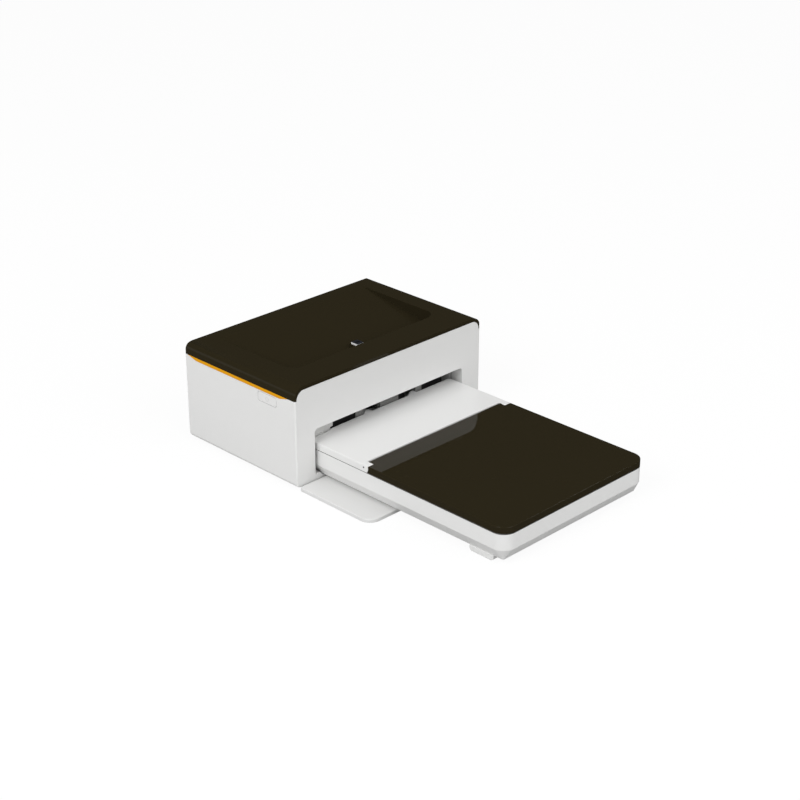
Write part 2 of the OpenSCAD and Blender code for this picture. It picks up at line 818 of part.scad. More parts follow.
module switch_board() {
    color(board_green) place() {
        block(switch_board_x, switch_board_x + board_t, button_y - 2, button_y + button_len + 2,
            button_z - 7, button_z + button_h + 1);
        block(switch_x + plunger_d, switch_board_x + eps, button_mid_y - switch_body / 2,
            button_mid_y + switch_body / 2, button_mid_z - switch_body / 2,
            button_mid_z + switch_body / 2);
        rod_x(switch_x, switch_x + plunger_d + 0.2, button_mid_y, button_mid_z, 1.7);
    }
}

module dock_connector() {
    color(white_abs) place() {
        block(plug_x - plug_w / 2, plug_x + plug_w / 2, plug_y, plug_y + plug_d, plug_base_z, plug_top_z);
        block(plug_x - plug_w / 2 - 4, plug_x + plug_w / 2 + 4, plug_y - 2, plug_y + plug_d + 1,
            plug_base_z - 1.6, plug_base_z + eps);
    }
}

// Paper tray ---------------------------------------------------------------

module tray_outline(inset, r) {
    front_round(-tray_half + inset, tray_half - inset, tray_front + inset, tray_in - inset, r);
}

module tray_base() {
    color(white_abs) place() difference() {
        union() {
            hull() {
                along_z(tray_low, tray_low + eps) tray_outline(tray_chamfer, tray_low_r);
                along_z(tray_side_low, tray_side_low + eps) tray_outline(0, tray_r);
            }
            along_z(tray_side_low, tray_seam) tray_outline(0, tray_r);
        }
        block(well_x0, well_x1, tray_front + tray_wall, tray_in - tray_wall, tray_side_low, tray_top);
        block(well_x0, well_x1, tray_front + tray_wall + tray_chamfer, tray_in - tray_wall, well_floor,
            tray_side_low + eps);
        block(pocket_x0, well_x0 - tray_wall, tray_front + tray_r, rear_step_y - tray_wall,
            pocket_floor, tray_top);
        block(-tray_half - 1, well_x0 - tray_wall, rear_step_y, tray_in + 1, rear_step_top, tray_top);
        block(well_x0 - tray_wall - 1, well_x1, tray_in - tray_wall - 1, tray_in + 1,
            tray_rear_wall_top, tray_top);
        rod_x(well_x0 - 1.4, well_x1 + 1.4, lift_axis_y, lift_axis_z, lift_peg_r + running_gap);
        difference() {
            along_z(tray_seam - seam_groove, tray_seam + 1) tray_outline(-1, tray_r + 1);
            along_z(tray_seam - 1, tray_seam + 2) tray_outline(seam_groove, tray_r - seam_groove);
        }
    }
}

module tray_rear_cover() {
    color(white_abs) place() difference() {
        union() {
            along_z(tray_top - tray_wall, tray_top)
                polygon([[-tray_half, -white_out], [tray_half, -white_out],
                    [tray_half, white_left_back], [tray_half - 1.5, white_back],
                    [33.9, white_back], [33.9, tab_back], [30.5, tab_back], [25.8, white_back],
                    [-7.6, white_back], [-7.6, tab_back], [-11.6, tab_back], [-15.3, white_back],
                    [-42.4, white_back - 0.2], [-46.6, white_back - 1.1],
                    [-50.5, white_left_back], [-tray_half, white_left_back - 0.6]]);
            for (side = [-1, 1]) {
                x_out = side * tray_half;
                x_in = side * (tray_half - tray_wall);
                x_arm = side * (tray_half - arm_in);
                block(min(x_out, x_in), max(x_out, x_in), -white_out, white_left_back - 0.7, tray_seam,
                    tray_top - eps);
                along_x(min(x_out, x_arm), max(x_out, x_arm)) intersection() {
                    union() {
                        translate([lid_axis_y, lid_axis_z]) circle(arm_r);
                        translate([lid_axis_y, tray_seam]) square([6, tray_top - tray_seam]);
                    }
                    translate([lid_axis_y - 5, tray_seam]) square([12, tray_top - tray_seam]);
                }
            }
        }
        for (side = [-1, 1])
            rod_x(side * (tray_half - tray_pin_len / 2) - tray_pin_len / 2 - 1,
                side * (tray_half - tray_pin_len / 2) + tray_pin_len / 2 + 1,
                lid_axis_y, lid_axis_z, tray_pin_r);
    }
}

module tray_lid() {
    lid_r = tray_top - lid_axis_z;
    knuckle_x = tray_half - arm_in - lid_gap;
    color(dark_abs) place() difference() {
        union() {
            difference() {
                along_z(tray_seam + lid_gap, tray_top)
                    front_round(-tray_half, tray_half, tray_front, lid_axis_y, tray_r);
                along_z(tray_seam - 1, tray_top - tray_wall)
                    front_round(-tray_half + tray_wall, tray_half - tray_wall, tray_front + tray_wall,
                        lid_axis_y + 20, tray_r - tray_wall);
            }
            rod_x(-knuckle_x, knuckle_x, lid_axis_y, lid_axis_z, lid_r);
        }
        for (side = [-1, 1]) {
            x_out = side * (tray_half + 1);
            x_in = side * knuckle_x;
            block(min(x_out, x_in), max(x_out, x_in), lid_axis_y, 0, 0, tray_top + 1);
            rod_x(min(x_out, x_in), max(x_out, x_in), lid_axis_y, lid_axis_z, lid_cut_r);
            rod_x(side * knuckle_x - 6, side * knuckle_x + 6, lid_axis_y, lid_axis_z,
                tray_pin_r + running_gap);
        }
        block(-knuckle_x + 8, knuckle_x - 8, lid_axis_y - lid_r - 1, 0, 0, tray_top - tray_wall);
    }
}

module tray_hinge_pins() {
    color(bright_steel) place() for (side = [-1, 1])
        rod_x(side * (tray_half - tray_pin_len / 2) - tray_pin_len / 2,
            side * (tray_half - tray_pin_len / 2) + tray_pin_len / 2,
            lid_axis_y, lid_axis_z, tray_pin_r);
}

module tray_feet() {
    tip_r = 2.6;
    color(white_abs) place() for (side = [-1, 1])
        along_x(side * tray_foot_x - tray_foot_w / 2, side * tray_foot_x + tray_foot_w / 2)
            intersection() {
                soft_rect(tray_foot_y0, tray_foot_y1, 0, 2 * tray_low, tip_r);
                translate([tray_foot_y0, 0]) square([tray_foot_y1 - tray_foot_y0, tray_low]);
            }
}

module lift_plate() {
    color(grey_abs) place() {
        block(paper_x - paper_w / 2, paper_x + paper_w / 2, stack_front - 1, plate_back,
            plate_low, plate_top);
        for (side = [-1, 1]) {
            peg_in = paper_x + side * (paper_w / 2 - 0.1);
            peg_out = paper_x + side * (well_w / 2 + 1.2);
            rod_x(min(peg_in, peg_out), max(peg_in, peg_out), lift_axis_y, lift_axis_z, lift_peg_r);
        }
    }
}

module lift_springs() {
    color(steel) place() for (x = [paper_x - 22, paper_x + 22]) translate([x, spring_y, 0])
        coil(spring_r, spring_wire, well_floor, plate_low, spring_turns);
}

module paper_stack() {
    color("white") place()
        block(paper_x - paper_w / 2 + 0.3, paper_x + paper_w / 2 - 0.3, stack_front,
            stack_front + paper_len, plate_top, stack_top);
}

module separation_pad() {
    pad_t = 0.8;
    color(rubber_black) place()
        block(paper_x - 14, paper_x + 14, tray_in - tray_wall - pad_t, tray_in - tray_wall,
            well_floor + 4, tray_rear_wall_top);
}

// Frame of the print engine ----------------------------------------------------

module shaft_holes(x0, x1) {
    for (c = [pickup_c, capstan_c, platen_c]) rod_x(x0, x1, c[0], c[1], bush_r + eps);
    rod_x(x0, x1, capstan_y, pinch_z, pinch_shaft_r + running_gap);
    rod_x(x0, x1, head_pivot_c[0], head_pivot_c[1], 2);
}

module plate_outline() {
    polygon([[16, 21.8], [45.2, 21.8], [45.2, floor_z], [engine_back, floor_z],
        [engine_back, 63.4], [90, 63.4], [62, 59.4], [40, 56], [16, 42]]);
}

// Outline of the cartridge's end caps, grown by g
module cap_outline(g) {
    translate(supply_c) circle(trough_out + g);
    translate(takeup_c) circle(trough_out + g);
    translate([supply_c[0], cap_bar_low - g])
        square([takeup_c[0] - supply_c[0], cap_bar_top - cap_bar_low + 2 * g]);
}

module side_plate_left() {
    color(steel) place() difference() {
        union() {
            along_x(-plate_x - sheet_t, -plate_x) plate_outline();
            for (y = [tab_front_y, left_tab_back_y])
                block(-plate_x - sheet_t, -plate_x + tab_w, y, y + tab_w, floor_z, floor_z + sheet_t);
        }
        shaft_holes(-plate_x - 3, -plate_x + 3);
        rod_x(-plate_x - 3, -plate_x + 3, motor_y, motor_z, 3);
        rod_x(-plate_x - 3, -plate_x + 3, takeup_c[0], takeup_c[1], shaft_r + running_gap);
        for (c = [reduction_c, feed_c, rear_idler_c, front_idler_c])
            rod_x(-plate_x - 3, -plate_x + 3, c[0], c[1], stud_r);
        block(-plate_x - 3, -plate_x + 3, lug_y0 - 2.5, lug_y1 + 1, sink_top - 1, sink_top + 5);
    }
}

module side_plate_right() {
    color(steel) place() difference() {
        union() {
            along_x(plate_right_x, plate_right_x + sheet_t) plate_outline();
            for (y = [tab_front_y, right_tab_back_y])
                block(plate_right_x, plate_right_x + tab_w, y, y + tab_w, floor_z, floor_z + sheet_t);
        }
        shaft_holes(plate_right_x - 3, plate_right_x + 3);
        along_x(plate_right_x - 1, plate_right_x + 3) cap_outline(0.3);
    }
}

module tie_rods() {
    color(bright_steel) place() for (c = [ramp_rod_c, shelf_rod_c, back_rod_c])
        rod_x(-plate_x, plate_right_x, c[0], c[1], tie_r);
}

// The chute that the tray slides into: two side walls, a ramp at its back end that turns the
// paper up to the rollers, and a block beside the paper
module inner_frame() {
    y0 = white_back + 0.5;
    left_x = -slot_left - sleeve_t;
    right_x = slot_half + 1;
    side_top = 34;
    ramp_low_top = 21;
    color(white_abs) place() difference() {
        union() {
            block(left_x, well_x0 - 0.1, y0, y0 + 2, tray_top + 0.6, slot_top + 2);
            block(left_x, well_x0 - tray_wall - 0.4, y0, y0 + 2, tray_rear_wall_top + 0.6,
                tray_top + 1);
            block(-slot_left + fit_gap, -51, rear_step_y + 0.3, y0 + 0.1, tray_rear_wall_top + 0.6,
                tray_top - 0.5);
            block(left_x, -slot_left + 0.4, y0, ramp_back, seat_z, side_top);
            block(slot_half - 0.6, right_x, y0, ramp_back, seat_z, side_top);
            block(left_x, -slot_left + 0.4, y0, y0 + 5, seat_z, slot_top + 2);
            block(slot_half - 0.6, right_x, y0, y0 + 5, seat_z, slot_top + 2);
            block(left_x, right_x, y0, y0 + 4, slot_top + 0.6, slot_top + 2);
            block(left_x, right_x, ramp_front + 1.2, ramp_back, seat_z, ramp_low_top);
            along_x(well_x0, well_x1 + 1)
                polygon([[ramp_front + 1.2, seat_z], [ramp_back, seat_z], [ramp_back, nip_z - 0.6],
                    [ramp_back - 0.8, nip_z - 0.6], [ramp_front + 0.8, 24], [ramp_front, 18],
                    [ramp_front, 12], [ramp_front + 1.2, 12]]);
        }
        rod_x(slot_half - 3, slot_half + 3, pickup_y, pickup_z, shaft_r + 0.5);
    }
}

module exit_guide() {
    low = pickup_z + pickup_r + 0.4;
    color(grey_abs) place() difference() {
        union() {
            along_x(-plate_x + 0.1, slot_half - 0.7)
                polygon([[16.5, low], [34, low], [40.5, nip_z - 0.9], [40.5, nip_z + 0.1],
                    [34, low + 1.2], [14, low + 1.2], [13.4, low + 0.6]]);
            block(1.6, 18.4, 12.4, 17, 24.6, low + 0.6);
            block(-20.4, -14.6, 12.4, 17, 24.6, low + 0.6);
            block(34.6, 40.4, 12.4, 17, 24.6, low + 0.6);
            for (span = [[-42, -20], [18, 25.4], [40, 61]])
                block(span[0], span[1], 13.4, 14.2, 24.6, low + 0.9);
        }
        for (z = [25.4:1.4:31]) {
            block(2.6, 17.4, 12, 12.8, z, z + 0.6);
            block(-19.6, -15.4, 12, 12.8, z, z + 0.6);
            block(35.4, 39.6, 12, 12.8, z, z + 0.6);
        }
    }
}

module exit_shelf() {
    color(grey_abs) place() difference() {
        block(-plate_x + 0.1, plate_right_x - 0.1, shelf_front, body_d - wall - 0.4, shelf_top - shelf_t,
            shelf_top);
        for (x = [well_x0 + 6:16:well_x1 - 14])
            block(x, x + shelf_slot_w, shelf_front + 5.5, body_d - wall - 8, shelf_top - 0.5,
                shelf_top + 1);
    }
}

module bush(c, side) {
    inner = side < 0 ? -plate_x : plate_right_x;
    outer = inner + side * (sheet_t + 0.6);
    flange = inner - side * bush_flange_t;
    difference() {
        union() {
            rod_x(min(inner, outer), max(inner, outer), c[0], c[1], bush_r);
            rod_x(min(inner, flange), max(inner, flange), c[0], c[1], bush_flange_r);
        }
        rod_x(inner - 4, inner + 4, c[0], c[1], shaft_r + running_gap);
    }
}

module roller_bushes() {
    color(acetal) place()
        for (c = [pickup_c, capstan_c, platen_c], side = [-1, 1]) bush(c, side);
}

// Rollers ------------------------------------------------------------------------

module pickup_roller() {
    color(rubber_black) place() difference() {
        rod_x(paper_x - pickup_w / 2, paper_x + pickup_w / 2, pickup_y, pickup_z, pickup_r);
        rod_x(-90, 90, pickup_y, pickup_z, shaft_r);
        for (a = [0:15:345])
            translate([paper_x, pickup_y, pickup_z]) rotate([a, 0, 0])
                translate([-pickup_w / 2 + 1, -0.3, pickup_r - 0.35]) cube([pickup_w - 2, 0.6, 1]);
    }
}

module pickup_shaft() {
    color(bright_steel) place()
        rod_x(gear_x0 - 0.6, plate_right_x + sheet_t + 1.5, pickup_y, pickup_z, shaft_r);
}

module capstan_shaft() {
    color(bright_steel) place() {
        rod_x(gear_x0 - 0.6, plate_right_x + sheet_t + 1.5, capstan_y, capstan_z, shaft_r);
        rod_x(well_x0 + 1, well_x1 - 1, capstan_y, capstan_z, capstan_r);
    }
}

module pinch_roller() {
    color(grey_abs) place() {
        rod_x(-plate_x - sheet_t - 0.8, plate_right_x + sheet_t + 0.8, capstan_y, pinch_z, pinch_shaft_r);
        for (x = [paper_x - 46, paper_x - 8, paper_x + 30])
            rod_x(x, x + 16, capstan_y, pinch_z, pinch_r);
    }
}

module platen_roller() {
    color(rubber_black) place() difference() {
        rod_x(well_x0, well_x1, platen_y, platen_z, platen_r);
        rod_x(-90, 90, platen_y, platen_z, shaft_r);
    }
}

module platen_shaft() {
    color(bright_steel) place()
        rod_x(gear_x0 - 0.6, plate_right_x + sheet_t + 1.5, platen_y, platen_z, shaft_r);
}

// Drive --------------------------------------------------------------------------

module drive_motor() {
    color(aluminium) place() {
        rod_x(-plate_x, -plate_x + motor_len, motor_y, motor_z, motor_r);
        rod_x(-plate_x - sheet_t, -plate_x + 0.1, motor_y, motor_z, 3 - running_gap);
    }
}

module motor_pinion() {
    color(acetal) place() {
        toothed(motor_c, pinion_n, pinion_turn, outer_x0, outer_x1);
        rod_x(outer_x0 - 0.4, -plate_x - sheet_t - 0.1, motor_y, motor_z, motor_shaft_r);
    }
}

module reduction_gear() {
    color(acetal) place() difference() {
        union() {
            toothed(reduction_c, small_n, small_turn, gear_x0 - 1.1, gear_x1);
            toothed(reduction_c, big_n, small_turn, outer_x0, outer_x1);
            rod_x(outer_x0 - 0.4, gear_x1 + 0.4, reduction_c[0], reduction_c[1], 3.4);
        }
        rod_x(outer_x0 - 1, gear_x1 + 1, reduction_c[0], reduction_c[1], stud_r + running_gap);
    }
}

module gear_studs() {
    color(bright_steel) place() {
        for (c = [feed_c, rear_idler_c, front_idler_c])
            rod_x(gear_x0 - 1, -plate_x, c[0], c[1], stud_r);
        rod_x(outer_x0 - 1, -plate_x, reduction_c[0], reduction_c[1], stud_r);
    }
}

module platen_gear() {
    color(acetal) place()
        gear(platen_c, platen_n, platen_turn, shaft_r, 4.2, gear_x0, gear_x1);
}

module feed_idler() {
    color(acetal) place()
        gear(feed_c, idler_n, feed_turn, stud_r + running_gap, 3, gear_x0, gear_x1);
}

module capstan_gear() {
    color(acetal) place()
        gear(capstan_c, capstan_n, capstan_turn, shaft_r, 4.2, gear_x0, gear_x1);
}

module pickup_idler_rear() {
    color(acetal) place()
        gear(rear_idler_c, idler_n, rear_idler_turn_0, stud_r + running_gap, 3, gear_x0, gear_x1);
}

module pickup_idler_front() {
    color(acetal) place()
        gear(front_idler_c, idler_n, front_idler_turn_0, stud_r + running_gap, 3, gear_x0, gear_x1);
}

module pickup_gear() {
    color(acetal) place()
        gear(pickup_c, pickup_n, pickup_turn, shaft_r, 3.4, gear_x0, gear_x1);
}

module takeup_gear() {
    color(acetal) place() {
        toothed(takeup_c, takeup_n, takeup_turn_0, gear_x0, gear_x1);
        rod_x(gear_x0 - 0.4, cap_left_x0 - 0.2, takeup_c[0], takeup_c[1], shaft_r);
    }
}

// Print head -----------------------------------------------------------------------

module print_head() {
    color("#d8cfc0") place() {
        block(head_x0, head_x1, head_y0, head_y1, head_low + 0.3, sink_low);
        block(head_x0, head_x1, platen_y - 2, platen_y + 2, head_low, head_low + 0.4);
    }
}

module heatsink() {
    fins = 5;
    fin_t = 1.4;
    pitch = (head_y1 - head_y0 - fin_t) / (fins - 1);
    color(aluminium) place() {
        block(head_x0, head_x1, head_y0, head_y1, sink_low, sink_low + 3.5);
        for (i = [0:fins - 1])
            block(head_x0, head_x1, head_y0 + i * pitch, head_y0 + i * pitch + fin_t, sink_low + 3,
                sink_top);
    }
}

module head_bracket() {
    rise = takeup_c[1] + trough_out + 1.4;
    eye_r = 3.6;
    pivot_y = head_pivot_c[0];
    pivot_z = head_pivot_c[1];
    color(steel) place() difference() {
        union() {
            along_x(head_x0 + 3, head_x1 - 3)
                polygon([[head_y0, sink_top], [head_y1 + 0.5, sink_top], [head_y1 + 3.5, rise],
                    [pivot_y, rise], [pivot_y, rise + bracket_t], [head_y1 + 2, rise + bracket_t],
                    [head_y1 - 1, sink_top + bracket_t], [head_y0, sink_top + bracket_t]]);
            rod_x(head_x0 + 3, head_x0 + 12, pivot_y, pivot_z, eye_r);
            rod_x(head_x1 - 12, head_x1 - 3, pivot_y, pivot_z, eye_r);
            block(lug_x0, head_x0 + 4, lug_y0, lug_y1, sink_top, sink_top + bracket_t);
        }
        rod_x(head_x0 - 1, head_x1 + 1, pivot_y, pivot_z, 2 + running_gap);
        block(head_x0 + 12, head_x1 - 12, pivot_y - 5, pivot_y + 5, pivot_z - 6, pivot_z + 6);
    }
}

module head_pivot_shaft() {
    color(bright_steel) place()
        rod_x(-plate_x - sheet_t, plate_right_x + sheet_t, head_pivot_c[0], head_pivot_c[1], 2);
}

// The cam's radius grows evenly over its working turn; it starts pointing up
module head_cam() {
    step = 5;
    working = [
        for (a = [0:step:cam_turn + 20])
            let (r = cam_low_r + cam_lift * min(a, cam_turn) / cam_turn)
            r * [cos(90 - a), sin(90 - a)]
    ];
    idle = [
        for (a = [cam_turn + 20 + step:step:355]) cam_low_r * [cos(90 - a), sin(90 - a)]
    ];
    color(acetal) place() {
        translate([gear_x0, cam_c[0], cam_c[1]]) rotate([90, 0, 90])
            linear_extrude(gear_w) polygon(concat(working, idle));
        rod_x(outer_x0 - 1.2, gear_x0 + 0.1, cam_c[0], cam_c[1], cam_shaft_r);
    }
}

module cam_motor() {
    face_x = outer_x0 - 0.6;
    color(aluminium) place() difference() {
        union() {
            rod_x(face_x - cam_motor_len, face_x, cam_c[0], cam_c[1], cam_motor_r);
            along_x(face_x - 1, face_x) polygon([[52, 36], [62, 36], [71, 42], [71, 56], [52, 56]]);
            rod_x(face_x - 0.5, -plate_x - sheet_t, 54.5, 38.5, 1.8);
            rod_x(face_x - 0.5, -plate_x - sheet_t, 54.5, 53.5, 1.8);
        }
        rod_x(face_x - 3, face_x + 1, cam_c[0], cam_c[1], cam_shaft_r + running_gap);
    }
}

// Ribbon cartridge ---------------------------------------------------------------------

module trough(c, side) {
    difference() {
        rod_x(cap_left_x1 - 0.1, cap_right_x0 + 0.1, c[0], c[1], trough_out);
        rod_x(cap_left_x1 - 1, cap_right_x0 + 1, c[0], c[1], trough_in);
        along_x(cap_left_x1 - 1, cap_right_x0 + 1) translate(c)
            polygon([[0, 0], [-side * 4, 20], [-side * 20, 20], [-side * 20, -20], [side * 6, -20]]);
    }
}

module ribbon_cartridge() {
    color(black_abs) place() difference() {
        union() {
            along_x(cap_left_x0, cap_left_x1) cap_outline(0);
            along_x(cap_right_x0, cap_right_x1) cap_outline(0);
            trough(supply_c, -1);
            trough(takeup_c, 1);
            block(cap_right_x1 - 0.1, cap_right_x1 + 5, 62, 72, cap_bar_low + 3, cap_bar_low + 5);
        }
        for (c = [supply_c, takeup_c])
            rod_x(cap_left_x0 - 1, cap_right_x1 - 2, c[0], c[1], shaft_r + running_gap);
    }
}

module spool(c) {
    rod_x(cap_left_x0 + 0.1, cap_right_x1 - 2.2, c[0], c[1], shaft_r);
    rod_x(cap_left_x1 + 0.3, cap_right_x0 - 0.3, c[0], c[1], spool_core_r);
    rod_x(cap_left_x1 + 0.3, cap_left_x1 + 1.5, c[0], c[1], flange_r);
    rod_x(cap_right_x0 - 1.5, cap_right_x0 - 0.3, c[0], c[1], flange_r);
    rod_x(well_x0 + 1, well_x1 - 1, c[0], c[1], film_r);
}

module supply_spool() { color("#c9b26a") place() spool(supply_c); }

module takeup_spool() { color("#3a3a5c") place() spool(takeup_c); }

module ribbon_film() {
    y0 = supply_c[0] + film_r + 0.1;
    y1 = takeup_c[0] - film_r - 0.1;
    low = nip_z + 0.1;
    low_y0 = head_y0 - 2.6;
    low_y1 = head_y1 + 2.2;
    color("#55406a") place() along_x(well_x0 + 1, well_x1 - 1)
        polygon([[y0, supply_c[1]], [low_y0, low], [low_y1, low], [y1, takeup_c[1]],
            [y1 - film_t, takeup_c[1]], [low_y1 - film_t, low + film_t],
            [low_y0 + film_t, low + film_t], [y0 + film_t, supply_c[1]]]);
}

// Electronics -------------------------------------------------------------------------

module main_board() {
    color(board_green) place() block(pcb_x0, pcb_x1, pcb_y0, pcb_y1, pcb_low, pcb_low + board_t);
}

module board_parts() {
    color(black_abs) place() {
        for (b = board_blocks)
            block(pcb_x0 + b[0], pcb_x0 + b[0] + b[1], pcb_y0 + b[2], pcb_y0 + b[2] + b[3], pcb_top,
                pcb_top + b[4]);
        for (x = can_x) rod_z(pcb_top, pcb_top + can_h, pcb_x0 + x, pcb_y0 + can_y, can_r);
    }
}

module dc_jack() {
    pin_y = socket_back - socket_d + 1.5;
    color(black_abs) place() {
        difference() {
            block(jack_x - jack_w / 2, jack_x + jack_w / 2, socket_back - socket_d, socket_back,
                pcb_top, pcb_top + jack_h);
            rod_y(pin_y, body_d, jack_x, pcb_top + jack_h / 2, jack_r);
        }
        rod_y(pin_y - 0.5, socket_back - 2, jack_x, pcb_top + jack_h / 2, 0.85);
    }
}

module usb_port() {
    skin = 0.6;
    color(bright_steel) place() {
        difference() {
            block(usb_x - usb_w / 2, usb_x + usb_w / 2, socket_back - socket_d, socket_back,
                pcb_top, pcb_top + usb_h);
            block(usb_x - usb_w / 2 + skin, usb_x + usb_w / 2 - skin, socket_back - socket_d + 1,
                body_d, pcb_top + skin, pcb_top + usb_h - skin);
        }
        block(usb_x - usb_w / 2 + 1.4, usb_x + usb_w / 2 - 1.4, socket_back - socket_d + 0.5,
            socket_back - 1.5, pcb_top + usb_h - 2.6, pcb_top + usb_h - 1.2);
    }
}

body_shell();
base_plate();
top_cover();
amber_strip_left();
amber_strip_right();
rubber_feet();
case_screws();
front_door();
cartridge_door();
hinge_pins();
power_button();
switch_board();
dock_connector();
tray_base();
tray_rear_cover();
tray_lid();
tray_hinge_pins();
tray_feet();
lift_plate();
lift_springs();
paper_stack();
separation_pad();
side_plate_left();
side_plate_right();
tie_rods();
inner_frame();
exit_guide();
exit_shelf();
roller_bushes();
pickup_roller();
pickup_shaft();
capstan_shaft();
pinch_roller();
platen_roller();
platen_shaft();
drive_motor();
motor_pinion();
reduction_gear();
gear_studs();
platen_gear();
feed_idler();
capstan_gear();
pickup_idler_rear();
pickup_idler_front();
pickup_gear();
takeup_gear();
print_head();
heatsink();
head_bracket();
head_pivot_shaft();
head_cam();
cam_motor();
ribbon_cartridge();
supply_spool();
takeup_spool();
ribbon_film();
main_board();
board_parts();
dc_jack();
usb_port();
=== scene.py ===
"""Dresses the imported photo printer: finishes, rounded edges, fine details, studio and camera."""

import logging
import math
from dataclasses import dataclass, field
from enum import Enum
from typing import Callable, Dict, Iterable, List, Optional, Sequence, Tuple

import bmesh
import bpy
from mathutils import Matrix, Vector


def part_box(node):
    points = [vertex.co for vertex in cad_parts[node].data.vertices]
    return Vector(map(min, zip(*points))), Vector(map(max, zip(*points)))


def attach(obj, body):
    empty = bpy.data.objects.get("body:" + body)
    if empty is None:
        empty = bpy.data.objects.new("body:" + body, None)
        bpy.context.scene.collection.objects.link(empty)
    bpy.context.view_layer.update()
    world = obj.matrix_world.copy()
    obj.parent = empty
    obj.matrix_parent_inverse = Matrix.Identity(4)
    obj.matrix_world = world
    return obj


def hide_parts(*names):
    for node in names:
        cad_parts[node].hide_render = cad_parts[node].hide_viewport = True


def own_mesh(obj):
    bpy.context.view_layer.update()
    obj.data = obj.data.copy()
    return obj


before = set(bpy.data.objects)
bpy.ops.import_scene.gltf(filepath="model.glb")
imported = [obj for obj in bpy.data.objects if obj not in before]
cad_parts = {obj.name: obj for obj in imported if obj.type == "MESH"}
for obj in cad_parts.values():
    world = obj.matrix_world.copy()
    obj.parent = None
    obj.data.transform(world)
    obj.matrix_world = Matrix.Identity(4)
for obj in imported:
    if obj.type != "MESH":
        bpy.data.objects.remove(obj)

LOG = logging.getLogger("photo_printer")
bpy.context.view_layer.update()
MM = 0.001
# Where the casing's front face stands along the depth, in millimetres in the shared frame
FRONT_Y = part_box("top_cover")[0].y / MM
# Loose triangles are joined within the first distance, and slivers below the second dissolve
MERGE_MM = 0.004
SLIVER_MM = 0.002
# Faces within this angle of each other become one flat face
FLAT_DEG = 0.6
# An edge is rounded from this angle and this length on
SHARP_DEG = 28
LEAST_EDGE_MM = 0.25
# Faces that meet at less than this angle are shaded as one curve
SMOOTH_DEG = 30
# How near a point has to be to a plane to count as on it
NEAR_MM = 0.02
# How much of a normal points along an axis: a face with more than the first looks along it, and
# one with less than the second lies parallel to it
SQUARE_ON = 0.9
EDGE_ON = 0.1


def linear(code: str) -> Tuple[float, float, float, float]:
    """Turns an sRGB hex colour into linear values.

    Args:
        code: The colour as "#rrggbb".

    Returns:
        Red, green, blue and an alpha of 1, linear.
    """
    parts = [int(code[i:i + 2], 16) / 255 for i in (1, 3, 5)]
    done = [c / 12.92 if c <= 0.04045 else ((c + 0.055) / 1.055) ** 2.4 for c in parts]
    return (done[0], done[1], done[2], 1.0)


def add_node(
    tree: bpy.types.NodeTree,
    kind: str,
    settings: Optional[Dict[object, object]] = None,
    links: Optional[Dict[object, bpy.types.NodeSocket]] = None,
) -> bpy.types.Node:
    """Adds one node to a tree, with its settings and its incoming links.

    Args:
        tree: The node tree that gets the node.
        kind: Blender's name of the node type.
        settings: Input values by socket name or number, or attributes with a leading dot.
        links: Outputs of other nodes by the name or number of the input that they feed.

    Returns:
        The new node.
    """
    node = tree.nodes.new(kind)
    for key, value in (settings or {}).items():
        if isinstance(key, str) and key.startswith("."):
            setattr(node, key[1:], value)
        else:
            node.inputs[key].default_value = value
    for key, source in (links or {}).items():
        tree.links.new(source, node.inputs[key])
    return node


# Finishes ------------------------------------------------------------------------------------


@dataclass
class Coat:
    """A material in the making: its node tree, its surface shader and its object coordinates."""

    tree: bpy.types.NodeTree
    shader: bpy.types.Node
    place: bpy.types.NodeSocket


